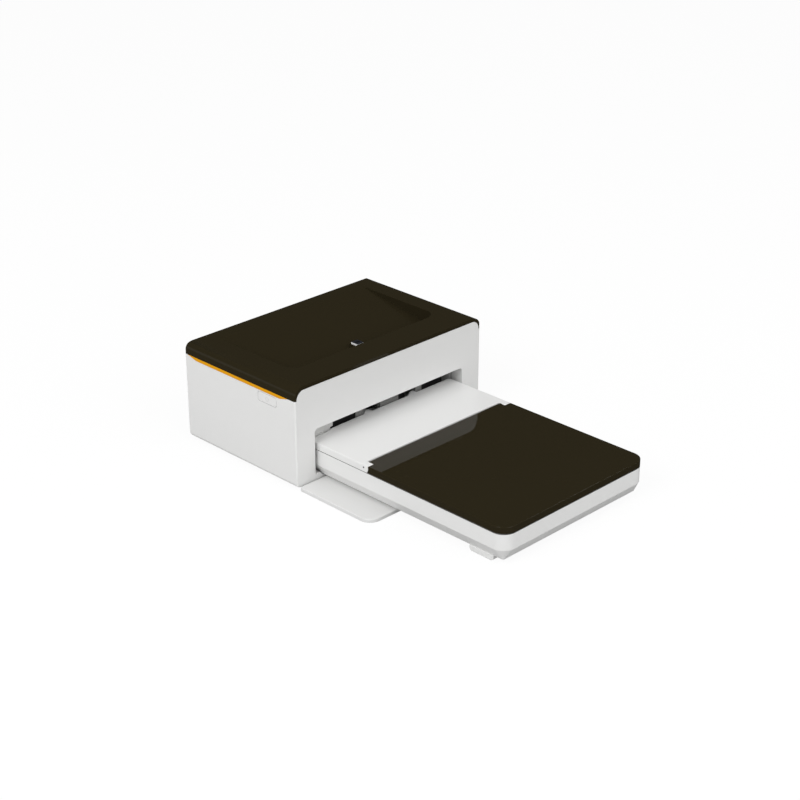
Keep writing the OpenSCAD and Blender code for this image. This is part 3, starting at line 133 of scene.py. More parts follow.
@dataclass(frozen=True)
class Finish:
    """What every finish of the printer has: a name, a colour and a roughness."""

    name: str
    colour: str
    roughness: float = 0.4

    def build(self) -> bpy.types.Material:
        """Makes the material.

        Returns:
            The finished material.
        """
        material = bpy.data.materials.new(self.name)
        material.use_nodes = True
        tree = material.node_tree
        tree.nodes.clear()
        shader = add_node(tree, "ShaderNodeBsdfPrincipled", {"Base Color": linear(self.colour)})
        add_node(tree, "ShaderNodeOutputMaterial", links={"Surface": shader.outputs[0]})
        place = add_node(tree, "ShaderNodeTexCoord").outputs["Object"]
        self.dress(Coat(tree, shader, place))
        return material

    def dress(self, coat: Coat) -> None:
        """Sets what the surface shows beyond its colour: here only its roughness."""
        coat.shader.inputs["Roughness"].default_value = self.roughness

    def vary_colour(self, coat: Coat, size_mm: float, amount: float) -> None:
        """Lets the colour drift a little over the surface.

        Args:
            coat: The material in the making.
            size_mm: Width of one patch.
            amount: How much darker the darkest patch is, from 0 to 1.
        """
        patches = add_node(
            coat.tree, "ShaderNodeTexNoise", {"Scale": 1 / (size_mm * MM), "Detail": 2.0},
            {"Vector": coat.place},
        )
        full = linear(self.colour)
        dark = tuple(c * (1 - amount) for c in full[:3]) + (1.0,)
        mix = add_node(
            coat.tree, "ShaderNodeMix", {".data_type": "RGBA", 6: dark, 7: full},
            {0: patches.outputs[0]},
        )
        coat.tree.links.new(mix.outputs[2], coat.shader.inputs["Base Color"])

    def vary_roughness(
        self, coat: Coat, pattern: bpy.types.Node, low: float, high: float
    ) -> None:
        """Lets the roughness follow a pattern.

        Args:
            coat: The material in the making.
            pattern: The node that gives the pattern, from 0 to 1.
            low: What the roughness is multiplied by where the pattern is 0.
            high: What it is multiplied by where the pattern is 1.
        """
        spread = add_node(
            coat.tree, "ShaderNodeMapRange",
            {"To Min": self.roughness * low, "To Max": self.roughness * high},
            {"Value": pattern.outputs[0]},
        )
        coat.tree.links.new(spread.outputs[0], coat.shader.inputs["Roughness"])

    def grain(self, coat: Coat, size_mm: float, height_mm: float, strength: float) -> None:
        """Adds a fine bump to the surface.

        Args:
            coat: The material in the making.
            size_mm: Width of one grain.
            height_mm: Height of one grain.
            strength: Strength of the bump, from 0 to 1.
        """
        grains = add_node(
            coat.tree, "ShaderNodeTexNoise", {"Scale": 1 / (size_mm * MM), "Detail": 3.0},
            {"Vector": coat.place},
        )
        bump = add_node(
            coat.tree, "ShaderNodeBump", {"Strength": strength, "Distance": height_mm * MM},
            {"Height": grains.outputs[0]},
        )
        coat.tree.links.new(bump.outputs[0], coat.shader.inputs["Normal"])


@dataclass(frozen=True)
class PolishedAbs(Finish):
    """ABS moulded in a polished tool: an even colour, a clear gloss and a faint orange peel.

    The waves of orange peel are 1 to 2 mm wide and a few thousandths of a millimetre high, and
    wiping and handling leave patches of a few centimetres that are a little duller.
    """

    peel_mm: float = 1.6
    peel_height_mm: float = 0.002
    peel_strength: float = 0.5
    ior: float = 1.5
    specular: float = 0.5
    wiped_mm: float = 25
    wiped_range: Tuple[float, float] = (0.9, 1.1)
    drift_mm: float = 40
    drift: float = 0.012

    def dress(self, coat: Coat) -> None:
        """Adds the gloss, its small changes and the orange peel.

        Args:
            coat: The material in the making.
        """
        coat.shader.inputs["IOR"].default_value = self.ior
        coat.shader.inputs["Specular IOR Level"].default_value = self.specular
        self.vary_colour(coat, self.drift_mm, self.drift)
        self.grain(coat, self.peel_mm, self.peel_height_mm, self.peel_strength)
        wiped = add_node(
            coat.tree, "ShaderNodeTexNoise", {"Scale": 1 / (self.wiped_mm * MM), "Detail": 2.0},
            {"Vector": coat.place},
        )
        self.vary_roughness(coat, wiped, *self.wiped_range)


@dataclass(frozen=True)
class SparkPlastic(Finish):
    """Plastic moulded in a spark-eroded tool: a dull, fine-grained face.

    Real spark grain is about 0.05 mm wide, too fine to show, so it is drawn coarser.
    """

    grain_mm: float = 0.35
    grain_height_mm: float = 0.03
    grain_strength: float = 0.5
    drift_mm: float = 12
    drift: float = 0.05

    def dress(self, coat: Coat) -> None:
        """Adds the eroded grain.

        Args:
            coat: The material in the making.
        """
        coat.shader.inputs["Roughness"].default_value = self.roughness
        self.vary_colour(coat, self.drift_mm, self.drift)
        self.grain(coat, self.grain_mm, self.grain_height_mm, self.grain_strength)


@dataclass(frozen=True)
class WorkedMetal(Finish):
    """Rolled, ground or extruded metal: fine lines along one direction and a satin shine.

    Real lines are 0.02 to 0.05 mm apart, too fine to show, so they are drawn coarser.
    """

    line_mm: float = 0.25
    along: int = 1
    line_length: float = 40
    line_range: Tuple[float, float] = (0.8, 1.25)

    def dress(self, coat: Coat) -> None:
        """Adds the metal and its lines.

        Args:
            coat: The material in the making.
        """
        coat.shader.inputs["Metallic"].default_value = 1.0
        stretch = [1 / (self.line_mm * MM)] * 3
        stretch[self.along] /= self.line_length
        mapped = add_node(
            coat.tree, "ShaderNodeMapping", {"Scale": tuple(stretch)}, {"Vector": coat.place}
        )
        lines = add_node(
            coat.tree, "ShaderNodeTexNoise", {"Scale": 1.0, "Detail": 2.0},
            {"Vector": mapped.outputs[0]},
        )
        self.vary_roughness(coat, lines, *self.line_range)


@dataclass(frozen=True)
class Rubber(Finish):
    """Moulded rubber: nearly black and dull, with a dusty skin in patches and a soft grain."""

    dust_mm: float = 6
    dust: float = 0.25
    grain_mm: float = 0.5
    grain_height_mm: float = 0.04
    grain_strength: float = 0.4

    def dress(self, coat: Coat) -> None:
        """Adds the skin's dust and grain.

        Args:
            coat: The material in the making.
        """
        coat.shader.inputs["Roughness"].default_value = self.roughness
        self.vary_colour(coat, self.dust_mm, self.dust)
        self.grain(coat, self.grain_mm, self.grain_height_mm, self.grain_strength)


@dataclass(frozen=True)
class CircuitBoard(Finish):
    """Glass-epoxy board under green lacquer, with lighter tracks.

    Real tracks are about 0.3 mm wide, too fine to show, so their pattern is drawn coarser.
    """

    track_mm: float = 1.4
    track_pitch: float = 4
    track_colour: str = "#3f8a5c"
    track_share: float = 0.03

    def dress(self, coat: Coat) -> None:
        """Adds the tracks under the lacquer.

        Args:
            coat: The material in the making.
        """
        coat.shader.inputs["Roughness"].default_value = self.roughness
        brick = add_node(
            coat.tree, "ShaderNodeTexBrick",
            {"Scale": 1 / (self.track_mm * self.track_pitch * MM),
             "Color1": linear(self.colour), "Color2": linear(self.colour),
             "Mortar": linear(self.track_colour), "Mortar Size": self.track_share},
            {"Vector": coat.place},
        )
        coat.tree.links.new(brick.outputs[0], coat.shader.inputs["Base Color"])


@dataclass(frozen=True)
class PhotoPaper(Finish):
    """Resin-coated paper: bright white sheets whose edges show as fine lines in the stack.

    A sheet is 0.24 mm thick, too thin to show, so the lines are drawn further apart.
    """

    sheet_mm: float = 0.45
    edge_colour: str = "#d9d9d4"
    edge_share: float = 0.2

    def dress(self, coat: Coat) -> None:
        """Adds the sheets' edges.

        Args:
            coat: The material in the making.
        """
        coat.shader.inputs["Roughness"].default_value = self.roughness
        axes = add_node(coat.tree, "ShaderNodeSeparateXYZ", links={0: coat.place})
        step = add_node(
            coat.tree, "ShaderNodeMath", {".operation": "MULTIPLY", 1: 1 / (self.sheet_mm * MM)},
            {0: axes.outputs[2]},
        )
        saw = add_node(coat.tree, "ShaderNodeMath", {".operation": "FRACT"}, {0: step.outputs[0]})
        shade = add_node(
            coat.tree, "ShaderNodeMapRange",
            {"From Min": 0.0, "From Max": self.edge_share, "To Min": 0.0},
            {"Value": saw.outputs[0]},
        )
        mix = add_node(
            coat.tree, "ShaderNodeMix",
            {".data_type": "RGBA", 6: linear(self.edge_colour), 7: linear(self.colour)},
            {0: shade.outputs[0]},
        )
        coat.tree.links.new(mix.outputs[2], coat.shader.inputs["Base Color"])


class Look(Enum):
    """The finishes of the printer, by the part of it that they cover."""

    # Polished ABS in cool white: smooth and even, with a weak gloss
    WHITE_ABS = PolishedAbs("white_abs_polished", "#e4e4e3", 0.3, specular=0.15)
    # The same white ABS on the front door, painted a shade greyer: painted shade for the dimmer
    # light the door gets
    WHITE_ABS_DOOR_SHADED = PolishedAbs("white_abs_door_painted_shade", "#dededd", 0.3, specular=0.15)
    # Unpolished white ABS of the inner mouldings: greyer and duller
    WHITE_ABS_INNER = PolishedAbs("white_abs_inner", "#d8d8d6", 0.42, specular=0.2)
    # Brown-black ABS from a mirror-polished tool: sharp but faint reflections
    DARK_ABS = PolishedAbs("dark_abs_polished", "#292417", 0.03, specular=0.12)
    # Amber ABS inlays: a full, warm orange with a weak gloss
    AMBER_ABS = PolishedAbs("amber_abs", "#e19c0d", 0.3, specular=0.1)
    # Grey ABS of guides and lift plate: matt from the spark-eroded tool
    GREY_PLASTIC = SparkPlastic("grey_plastic_sparked", "#8d8d8b", 0.5)
    # Black ABS of cartridge, sockets and guide: matt, nearly without shine; also painted shade on
    # the chute wall's front end
    BLACK_PLASTIC = SparkPlastic("black_plastic_sparked", "#101011", 0.5)
    # White ABS deep in seams and gaps, painted dark grey: painted shade where the gap falls into
    # shadow
    SEAM_SHADE = SparkPlastic("white_abs_painted_seam_shade", "#5c5c5a", 0.6)
    # Glass-filled nylon of the connector: dark blue-grey and matt
    CONTACT_BLUE = SparkPlastic("nylon_blue_grey", "#22252e", 0.4)
    # Pad-printed ink of the on-off symbol: pale grey, just visible on white
    SYMBOL_GREY = SparkPlastic("pad_printed_ink_grey", "#cfcfcc", 0.5)
    # Machined or moulded acetal of gears and bushes: creamy white and waxy
    ACETAL = SparkPlastic("acetal_natural", "#e6e3d6", 0.45, 0.6)
    # Moulded rubber of feet and rollers: dull black
    RUBBER = Rubber("rubber_black", "#1b1b1c", 0.75)
    # Zinc-plated sheet steel of side plates and brackets: grey, with rolling lines
    STEEL_SHEET = WorkedMetal("steel_sheet_zinc", "#a9adb0", 0.42)
    # Ground steel of shafts, pins and springs: brighter and finer
    STEEL_ROD = WorkedMetal("steel_rod_ground", "#c3c6c9", 0.25, 0.15, 0)
    # Extruded aluminium of the heat sink and motor cans: pale and satin
    ALUMINIUM = WorkedMetal("aluminium_extruded", "#bfc3c6", 0.45, 0.3, 0)
    # Glazed alumina of the print head: warm grey with a soft gloss
    CERAMIC = SparkPlastic("alumina_glazed", "#d8cfc0", 0.3, 0.2)
    # Lacquered glass-epoxy boards: green with lighter tracks
    BOARD = CircuitBoard("glass_epoxy_board_green", "#1c5435", 0.35)
    # Resin-coated photo paper: bright white and half glossy
    PAPER = PhotoPaper("photo_paper", "#f3f3f0", 0.45)
    # Wound polyester ribbon, fresh side: yellow dye on the outside of the roll
    SPOOL_AMBER = SparkPlastic("ribbon_roll_yellow", "#c1a65a", 0.35, 0.8)
    # Wound polyester ribbon, used side: dark where the dyes overlap
    SPOOL_DYE = SparkPlastic("ribbon_roll_dark", "#34324f", 0.3, 0.8)
    # Single layer of dyed polyester film: violet and glossy
    FILM = PolishedAbs("ribbon_film_violet", "#4c3a60", 0.15)


MATERIALS: Dict[Look, bpy.types.Material] = {}


def finish_of(look: Look) -> bpy.types.Material:
    """Gives the material of a finish, made once.

    Args:
        look: The finish.

    Returns:
        Its material.
    """
    if look not in MATERIALS:
        MATERIALS[look] = look.value.build()
    return MATERIALS[look]


# Meshes --------------------------------------------------------------------------------------


def at(x: float, y: float, z: float) -> Vector:
    """Turns millimetres, counted from the front face and the table, into the shared frame."""
    return Vector((x, y + FRONT_Y, z)) * MM


def spot(point: Vector) -> Tuple[float, float, float]:
    """Turns a point of the shared frame into millimetres from the front face and the table."""
    return point.x / MM, point.y / MM - FRONT_Y, point.z / MM


def to_object(
    name: str, shape: bmesh.types.BMesh, look: Look, body: str
) -> bpy.types.Object:
    """Turns a finished shape into an object that rides on a body.

    Args:
        name: The piece's name.
        shape: The shape, in metres in the shared frame. It is freed.
        look: The finish of the piece.
        body: The body that it moves with.

    Returns:
        The new object.
    """
    mesh = bpy.data.meshes.new(name)
    shape.to_mesh(mesh)
    shape.free()
    mesh.polygons.foreach_set("use_smooth", [True] * len(mesh.polygons))
    mesh.set_sharp_from_angle(angle=math.radians(SMOOTH_DEG))
    mesh.materials.append(finish_of(look))
    piece = bpy.data.objects.new(name, mesh)
    bpy.context.scene.collection.objects.link(piece)
    shading = piece.modifiers.new("flat_faces_stay_flat", "WEIGHTED_NORMAL")
    shading.mode, shading.weight, shading.keep_sharp = "FACE_AREA", 100, True
    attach(piece, body)
    LOG.info("%s: %d faces, rides on %s", name, len(mesh.polygons), body)
    return piece


def merged_copy(node: str) -> bmesh.types.BMesh:
    """Copies a CAD node's mesh, joins its loose triangles and dissolves them into flat faces.

    Args:
        node: The CAD node's name.

    Returns:
        The copy.
    """
    shape = bmesh.new()
    shape.from_mesh(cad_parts[node].data)
    bmesh.ops.remove_doubles(shape, verts=shape.verts, dist=MERGE_MM * MM)
    bmesh.ops.dissolve_degenerate(shape, edges=shape.edges, dist=SLIVER_MM * MM)
    bmesh.ops.dissolve_limit(
        shape, angle_limit=math.radians(FLAT_DEG), verts=shape.verts, edges=shape.edges
    )
    return shape


def sharp_edges(
    shape: bmesh.types.BMesh, inside: Callable[[Vector], bool]
) -> List[bmesh.types.BMEdge]:
    """Finds the edges to round.

    Args:
        shape: The shape.
        inside: Says whether a point, in metres, is in the region that gets rounded.

    Returns:
        The edges that fit.
    """
    found = []
    for edge in shape.edges:
        if len(edge.link_faces) != 2 or edge.calc_length() < LEAST_EDGE_MM * MM:
            continue
        if edge.calc_face_angle(0) < math.radians(SHARP_DEG):
            continue
        if all(inside(v.co) for v in edge.verts):
            found.append(edge)
    return found


def round_edges(
    shape: bmesh.types.BMesh, edges: Sequence[bmesh.types.BMEdge], radius_mm: float,
    segments: int = 3,
) -> None:
    """Rounds edges in place.

    Args:
        shape: The shape.
        edges: Its edges to round.
        radius_mm: Width of the rounding.
        segments: Faces across the rounding.
    """
    bmesh.ops.bevel(
        shape, geom=list(edges), offset=radius_mm * MM, offset_type="OFFSET", segments=segments,
        profile=0.5, affect="EDGES", clamp_overlap=True, material=-1,
    )


@dataclass
class Rounding:
    """One region of a node whose edges are rounded, and by how much."""

    radius_mm: float
    inside: Callable[[Vector], bool]
    segments: int = 3


def refine(
    node: str, look: Look, body: str, roundings: Iterable[Rounding] = (),
    cuts_mm: Iterable[float] = (),
) -> bpy.types.Object:
    """Replaces a CAD node by a copy with rounded edges and its finish.

    Args:
        node: The CAD node's name.
        look: The finish of the copy.
        body: The body that it moves with.
        roundings: The regions to round, in order.
        cuts_mm: Where faces and edges are split along the depth, so that a rounding can end.

    Returns:
        The new piece.
    """
    shape = merged_copy(node)
    for cut in cuts_mm:
        bmesh.ops.bisect_plane(
            shape, geom=[*shape.verts, *shape.edges, *shape.faces], plane_co=at(0, cut, 0),
            plane_no=(0, 1, 0),
        )
    for rounding in roundings:
        edges = sharp_edges(shape, rounding.inside)
        if edges:
            round_edges(shape, edges, rounding.radius_mm, rounding.segments)
    piece = to_object(node + "_dressed", shape, look, body)
    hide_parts(node)
    return piece


def second_look(
    piece: bpy.types.Object, look: Look, inside: Callable[[Vector, Vector], bool]
) -> None:
    """Gives some faces of a piece a second finish.

    Args:
        piece: The piece.
        look: The second finish.
        inside: Says from a face's middle and normal whether it gets the second finish.
    """
    piece.data.materials.append(finish_of(look))
    for face in piece.data.polygons:
        if inside(face.center, face.normal):
            face.material_index = len(piece.data.materials) - 1


def anywhere(_: Vector) -> bool:
    """Says that every point is in the region."""
    return True


# Sub-assemblies ------------------------------------------------------------------------------


@dataclass
class Casing:
    """The white casing, its dark cover, its strips and its doors."""

    edge_r: float = 0.45
    cover_edge_r: float = 0.35
    recess_corner_r: float = 0.8
    strip_edge_r: float = 0.12
    ribbon_door_edge_r: float = 0.2
    rim_edge_r: float = 0.5
    half_width: float = field(default_factory=lambda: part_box("body_shell")[1].x / MM)
    depth: float = field(default_factory=lambda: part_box("top_cover")[1].y / MM - FRONT_Y)
    roof: float = field(default_factory=lambda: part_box("top_cover")[1].z / MM)
    roof_rim: float = 0.03
    floor_level: float = 1.52
    dock_half: float = 65.5
    dock_front: float = 22.6
    dock_back: float = 94.8
    dock_depth: float = 9.7
    dock_near: Tuple[float, float] = (0.05, 0.08)
    door_corner: Tuple[float, float] = (75.1, -57.0)
    door_r: float = 8.0
    door_rim_end: float = -4.5
    door_rim_low: float = 2.35
    door_rim_width: float = 0.3
    door_back: float = -0.88
    front_foot: Tuple[float, float] = (0.5, 2.0)
    down_turned: float = -0.2

    def build(self) -> None:
        """Dresses the shell, the cover, the strips and the doors."""
        shell = refine("body_shell", Look.WHITE_ABS, "casing",
                       [Rounding(self.edge_r, self.outside)])
        # Painted shade: the shell's lower front edge over the door gap gets the dark seam finish
        second_look(shell, Look.SEAM_SHADE, self.painted_shade_over_door_gap)
        refine("top_cover", Look.DARK_ABS, "casing",
               [Rounding(self.recess_corner_r, self.recess_corner, 5),
                Rounding(self.cover_edge_r, self.cover_outside)])
        for side in ("left", "right"):
            refine(f"amber_strip_{side}", Look.AMBER_ABS, "casing",
                   [Rounding(self.strip_edge_r, anywhere, 2)])
        door = refine("front_door", Look.WHITE_ABS_DOOR_SHADED, "front_door",
                      [Rounding(self.rim_edge_r, self.door_rim)], (self.door_rim_end,))
        # Painted shade: the door's faces in the gap under the casing get the dark seam finish
        second_look(door, Look.SEAM_SHADE, self.painted_shade_in_door_gap)
        refine("cartridge_door", Look.WHITE_ABS, "cartridge_door",
               [Rounding(self.ribbon_door_edge_r, self.outside)])

    def on_wall(self, point: Vector) -> bool:
        """Says whether a point lies on one of the casing's four outer walls.

        Args:
            point: The point, in metres.

        Returns:
            True where it does.
        """
        x, y, _ = spot(point)
        on_end = y < NEAR_MM or y > self.depth - NEAR_MM
        return on_end or abs(x) > self.half_width - NEAR_MM

    def outside(self, point: Vector) -> bool:
        """Says whether a point lies on the casing's outer faces, below the cover's top."""
        height = spot(point)[2]
        return (self.on_wall(point) or height < self.floor_level) and height < self.roof

    def cover_outside(self, point: Vector) -> bool:
        """Says whether a point lies on the cover's visible rims."""
        return spot(point)[2] > self.roof - self.roof_rim or self.on_wall(point)

    def recess_corner(self, point: Vector) -> bool:
        """Says whether a point lies where the recess' sloping floor meets its right wall.

        Args:
            point: The point, in metres.

        Returns:
            True where it does.
        """
        x, y, z = spot(point)
        run = (self.dock_back - y) / (self.dock_back - self.dock_front)
        floor = self.roof - self.dock_depth * run
        return abs(x - self.dock_half) < self.dock_near[0] and abs(z - floor) < self.dock_near[1]

    def painted_shade_over_door_gap(self, middle: Vector, normal: Vector) -> bool:
        """Says whether a face of the shell belongs to its lower front edge, above the door, which
        gets painted shade.

        Args:
            middle: The face's middle, in metres.
            normal: Its normal.

        Returns:
            True where it does.
        """
        _, y, z = spot(middle)
        at_foot = y < self.front_foot[0] and z < self.front_foot[1]
        return at_foot and normal.z < self.down_turned

    def painted_shade_in_door_gap(self, middle: Vector, _: Vector) -> bool:
        """Says whether a face of the front door lies in the narrow gap under the casing, which
        gets painted shade.
        """
        return spot(middle)[1] > self.door_back

    def door_rim(self, point: Vector) -> bool:
        """Says whether a point is on the outer top edge of the front door's rim.

        Args:
            point: The point, in metres.

        Returns:
            True where it is.
        """
        x, y, z = spot(point)
        side = max(abs(x) - self.door_corner[0], 0)
        front = max(self.door_corner[1] - y, 0)
        on_rim = math.hypot(side, front) > self.door_r - self.door_rim_width
        return on_rim and z > self.door_rim_low and y < self.door_rim_end + NEAR_MM


@dataclass
class PowerButton:
    """The power button with its generic on-off mark, an open ring with a bar."""

    mid_y: float = 26.3
    mid_z: float = 55.15
    face_x: float = -84.2
    face_near: float = 0.05
    gap_depth: float = 3
    edge_r: float = 0.12
    ring_r: float = 1.35
    half_gap_deg: float = 40
    ring_steps: int = 28
    line: float = 0.22
    height: float = 0.06
    bar_share: float = 0.95
    bar_rise: float = 0.9

    def build(self) -> None:
        """Dresses the cap and inlays the mark."""
        cap = refine("power_button", Look.WHITE_ABS, "power_button",
                     [Rounding(self.edge_r, self.on_cap, 2)])
        # Painted shade: the cap's sides in the gap around it get the dark seam finish
        second_look(cap, Look.SEAM_SHADE, self.painted_shade_in_cap_gap)
        self.mark()

    def painted_shade_in_cap_gap(self, middle: Vector, normal: Vector) -> bool:
        """Says whether a face of the cap looks into the gap around it, which gets painted shade.
        """
        return abs(normal.x) < EDGE_ON and middle.x / MM < self.face_x + self.gap_depth

    def on_cap(self, point: Vector) -> bool:
        """Says whether a point is on the cap's outer face."""
        return point.x / MM < self.face_x + self.face_near

    def mark(self) -> bpy.types.Object:
        """Builds the open ring and the bar of the mark.

        Returns:
            The mark's object.
        """
        shape = bmesh.new()
        start = math.radians(self.half_gap_deg)
        inner, outer = self.ring_r - self.line / 2, self.ring_r + self.line / 2
        corners = [(inner, 0), (outer, 0), (outer, self.height), (inner, self.height)]
        verts = [
            shape.verts.new((-h, r * math.sin(start), r * math.cos(start))) for r, h in corners
        ]
        face = shape.faces.new(verts)
        bmesh.ops.spin(
            shape, geom=[face, *face.edges, *face.verts], cent=(0, 0, 0), axis=(-1, 0, 0),
            angle=math.radians(360 - 2 * self.half_gap_deg), steps=self.ring_steps,
            use_merge=False, use_duplicate=False,
        )
        bar = bmesh.ops.create_cube(shape, size=1.0)["verts"]
        bar_size = (self.height, self.line, self.ring_r * self.bar_share)
        bar_place = (-self.height / 2, 0, self.ring_r * self.bar_rise)
        bmesh.ops.scale(shape, vec=bar_size, verts=bar)
        bmesh.ops.translate(shape, vec=bar_place, verts=bar)
        bmesh.ops.recalc_face_normals(shape, faces=shape.faces)
        bmesh.ops.scale(shape, vec=(MM, MM, MM), verts=shape.verts)
        bmesh.ops.translate(
            shape, vec=at(self.face_x, self.mid_y, self.mid_z), verts=shape.verts
        )
        return to_object("power_mark", shape, Look.SYMBOL_GREY, "power_button")


@dataclass
class DockConnector:
    """The connector block in the dock recess, with its contact face and tongue."""

    edge_r: float = 0.12
    plate_edge_r: float = 0.08
    mid_y: float = 32.7
    face: Tuple[float, float, float] = (5.4, 6.0, 0.3)
    face_rise: float = 0.1
    tongue: Tuple[float, float, float] = (3.4, 1.2, 0.3)
    tongue_rise: float = 0.3

    def build(self) -> None:
        """Dresses the block and adds the contact face and the tongue."""
        block = refine("dock_connector", Look.WHITE_ABS, "casing",
                       [Rounding(self.edge_r, anywhere, 2)])
        second_look(block, Look.CONTACT_BLUE, self.faces_front)
        self.plate("dock_connector_top", self.face, self.face_rise, Look.CONTACT_BLUE)
        self.plate("dock_connector_tongue", self.tongue, self.tongue_rise, Look.BLACK_PLASTIC)

    def faces_front(self, _: Vector, normal: Vector) -> bool:
        """Says whether a face of the block looks to the front."""
        return normal.y < -0.5

    def plate(
        self, name: str, size: Tuple[float, float, float], rise: float, look: Look
    ) -> bpy.types.Object:
        """Builds one plate on the block's top.

        Args:
            name: The piece's name.
            size: Width, depth and height in millimetres.
            rise: How far the plate's middle stands above the block's top.
            look: Its finish.

        Returns:
            The plate's object.
        """
        low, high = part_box("dock_connector")
        middle = ((low.x + high.x) / 2, at(0, self.mid_y, 0).y, high.z + rise * MM)
        shape = bmesh.new()
        verts = bmesh.ops.create_cube(shape, size=1.0)["verts"]
        bmesh.ops.scale(shape, vec=[s * MM for s in size], verts=verts)
        round_edges(shape, shape.edges[:], self.plate_edge_r, 2)
        bmesh.ops.translate(shape, vec=middle, verts=shape.verts)
        return to_object(name, shape, look, "casing")


@dataclass
class PaperTray:
    """The paper tray with its white rear cover and its dark lid."""

    front: float = -159.0
    side: float = 65.7
    low: float = 12
    seam: float = 22.3
    seam_depth: float = 0.4
    seam_wall: Tuple[float, float] = (0.15, 0.25)
    top: float = 26.88
    lid_back: float = -43.0
    edge_r: float = 0.12
    cover_edge_r: float = 0.5
    lid_edge_r: float = 0.7
    foot_edge_r: float = 0.3

    def build(self) -> None:
        """Dresses the tray's pieces."""
        base = refine("tray_base", Look.WHITE_ABS, "tray",
                      [Rounding(self.edge_r, self.outside, 2)])
        # Painted shade: the faces in the seam's groove get the dark seam finish
        second_look(base, Look.SEAM_SHADE, self.painted_shade_in_seam)
        refine("tray_rear_cover", Look.WHITE_ABS, "tray",
               [Rounding(self.cover_edge_r, self.on_top)])
        refine("tray_lid", Look.DARK_ABS, "tray_lid",
               [Rounding(self.lid_edge_r, self.lid_top)], (self.lid_back,))
        refine("tray_feet", Look.WHITE_ABS, "tray",
               [Rounding(self.foot_edge_r, anywhere)])

    def outside(self, point: Vector) -> bool:
        """Says whether a point is on the tray base's outer faces.

        Args:
            point: The point, in metres.

        Returns:
            True where it is.
        """
        x, y, z = spot(point)
        on_wall = abs(x) > self.side or y < self.front + NEAR_MM
        return z < self.low or (z < self.seam - 1 and on_wall)

    def painted_shade_in_seam(self, middle: Vector, normal: Vector) -> bool:
        """Says whether a face of the tray base lies in the seam's groove, which gets painted
        shade.

        Args:
            middle: The face's middle, in metres.
            normal: Its normal.

        Returns:
            True where it does.
        """
        below = self.seam - middle.z / MM
        on_wall = abs(normal.z) < EDGE_ON and self.seam_wall[0] < below < self.seam_wall[1]
        on_floor = normal.z > SQUARE_ON and abs(below - self.seam_depth) < NEAR_MM
        return on_wall or on_floor

    def on_top(self, point: Vector) -> bool:
        """Says whether a point is on the top face of the rear cover or the lid."""
        return point.z / MM > self.top

    def lid_top(self, point: Vector) -> bool:
        """Says whether a point is on the lid's top face, in front of its hinge."""
        return self.on_top(point) and spot(point)[1] < self.lid_back + NEAR_MM


@dataclass
class Engine:
    """Everything inside the casing: most CAD nodes keep their shape and get their finish."""

    finishes: Dict[Look, List[str]] = field(default_factory=lambda: {
        Look.WHITE_ABS_INNER: ["base_plate"],
        Look.GREY_PLASTIC: ["lift_plate", "exit_shelf", "pinch_roller"],
        Look.BLACK_PLASTIC: ["ribbon_cartridge", "board_parts", "dc_jack"],
        Look.RUBBER: ["rubber_feet", "separation_pad", "pickup_roller", "platen_roller"],
        Look.STEEL_SHEET: ["side_plate_left", "side_plate_right", "head_bracket", "case_screws"],
        Look.STEEL_ROD: ["hinge_pins", "tray_hinge_pins", "tie_rods", "pickup_shaft",
                         "capstan_shaft", "platen_shaft", "gear_studs", "head_pivot_shaft",
                         "usb_port"],
        Look.ALUMINIUM: ["heatsink", "drive_motor", "cam_motor"],
        Look.ACETAL: ["roller_bushes", "motor_pinion", "reduction_gear", "platen_gear",
                      "feed_idler", "capstan_gear", "pickup_idler_rear", "pickup_idler_front",
                      "pickup_gear", "takeup_gear", "head_cam"],
        Look.BOARD: ["main_board", "switch_board"],
        Look.CERAMIC: ["print_head"],
        Look.PAPER: ["paper_stack"],
        Look.SPOOL_AMBER: ["supply_spool"],
        Look.SPOOL_DYE: ["takeup_spool"],
        Look.FILM: ["ribbon_film"],
    })

    rib_blocks: Tuple[Tuple[float, float], ...] = ((-20.6, -14.4), (1.4, 18.6), (34.4, 40.6))
    rib_depth: Tuple[float, float] = (12.2, 17.2)
    chute_right: float = 60
    spring_foot: Tuple[float, float, float] = (9.5, 18.0, 6.5)
    spring_keep: float = 0.26

    def build(self) -> None:
        """Gives each inner node its finish and dresses the few that change."""
        for look, nodes in self.finishes.items():
            for name in nodes:
                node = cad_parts[name]
                node.data.materials.clear()
                node.data.materials.append(finish_of(look))
                LOG.info("%s: %s", name, look.value.name)
        guide = refine("exit_guide", Look.BLACK_PLASTIC, "casing")
        second_look(guide, Look.GREY_PLASTIC, self.on_rib_block)
        chute = refine("inner_frame", Look.WHITE_ABS_INNER, "casing")
        # Painted shade: the white chute's wall end behind the sleeve is drawn black
        second_look(chute, Look.BLACK_PLASTIC, self.painted_shade_behind_sleeve)
        self.springs()

    def springs(self) -> None:
        """Dresses the lift springs and gives them a mesh of their own."""
        springs = refine("lift_springs", Look.STEEL_ROD, "tray")
        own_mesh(springs)

    def painted_shade_behind_sleeve(self, middle: Vector, normal: Vector) -> bool:
        """Says whether a face of the chute is the front end of its right wall, which is painted
        black as shade in the gap behind the sleeve.
        """
        return normal.y < -SQUARE_ON and middle.x / MM > self.chute_right

    def on_rib_block(self, middle: Vector, _: Vector) -> bool:
        """Says whether a face of the exit guide belongs to one of its grey ribbed blocks.

        Args:
            middle: The face's middle, in metres.

        Returns:
            True where it does.
        """
        x, y = spot(middle)[:2]
        across = any(low < x < high for low, high in self.rib_blocks)
        return across and self.rib_depth[0] < y < self.rib_depth[1]


# Studio --------------------------------------------------------------------------------------


@dataclass(frozen=True)
class Lamp:
    """One soft rectangular lamp: its place and size in metres and its power in watts."""

    name: str
    place: Tuple[float, float, float]
    size: Tuple[float, float]
    power: float


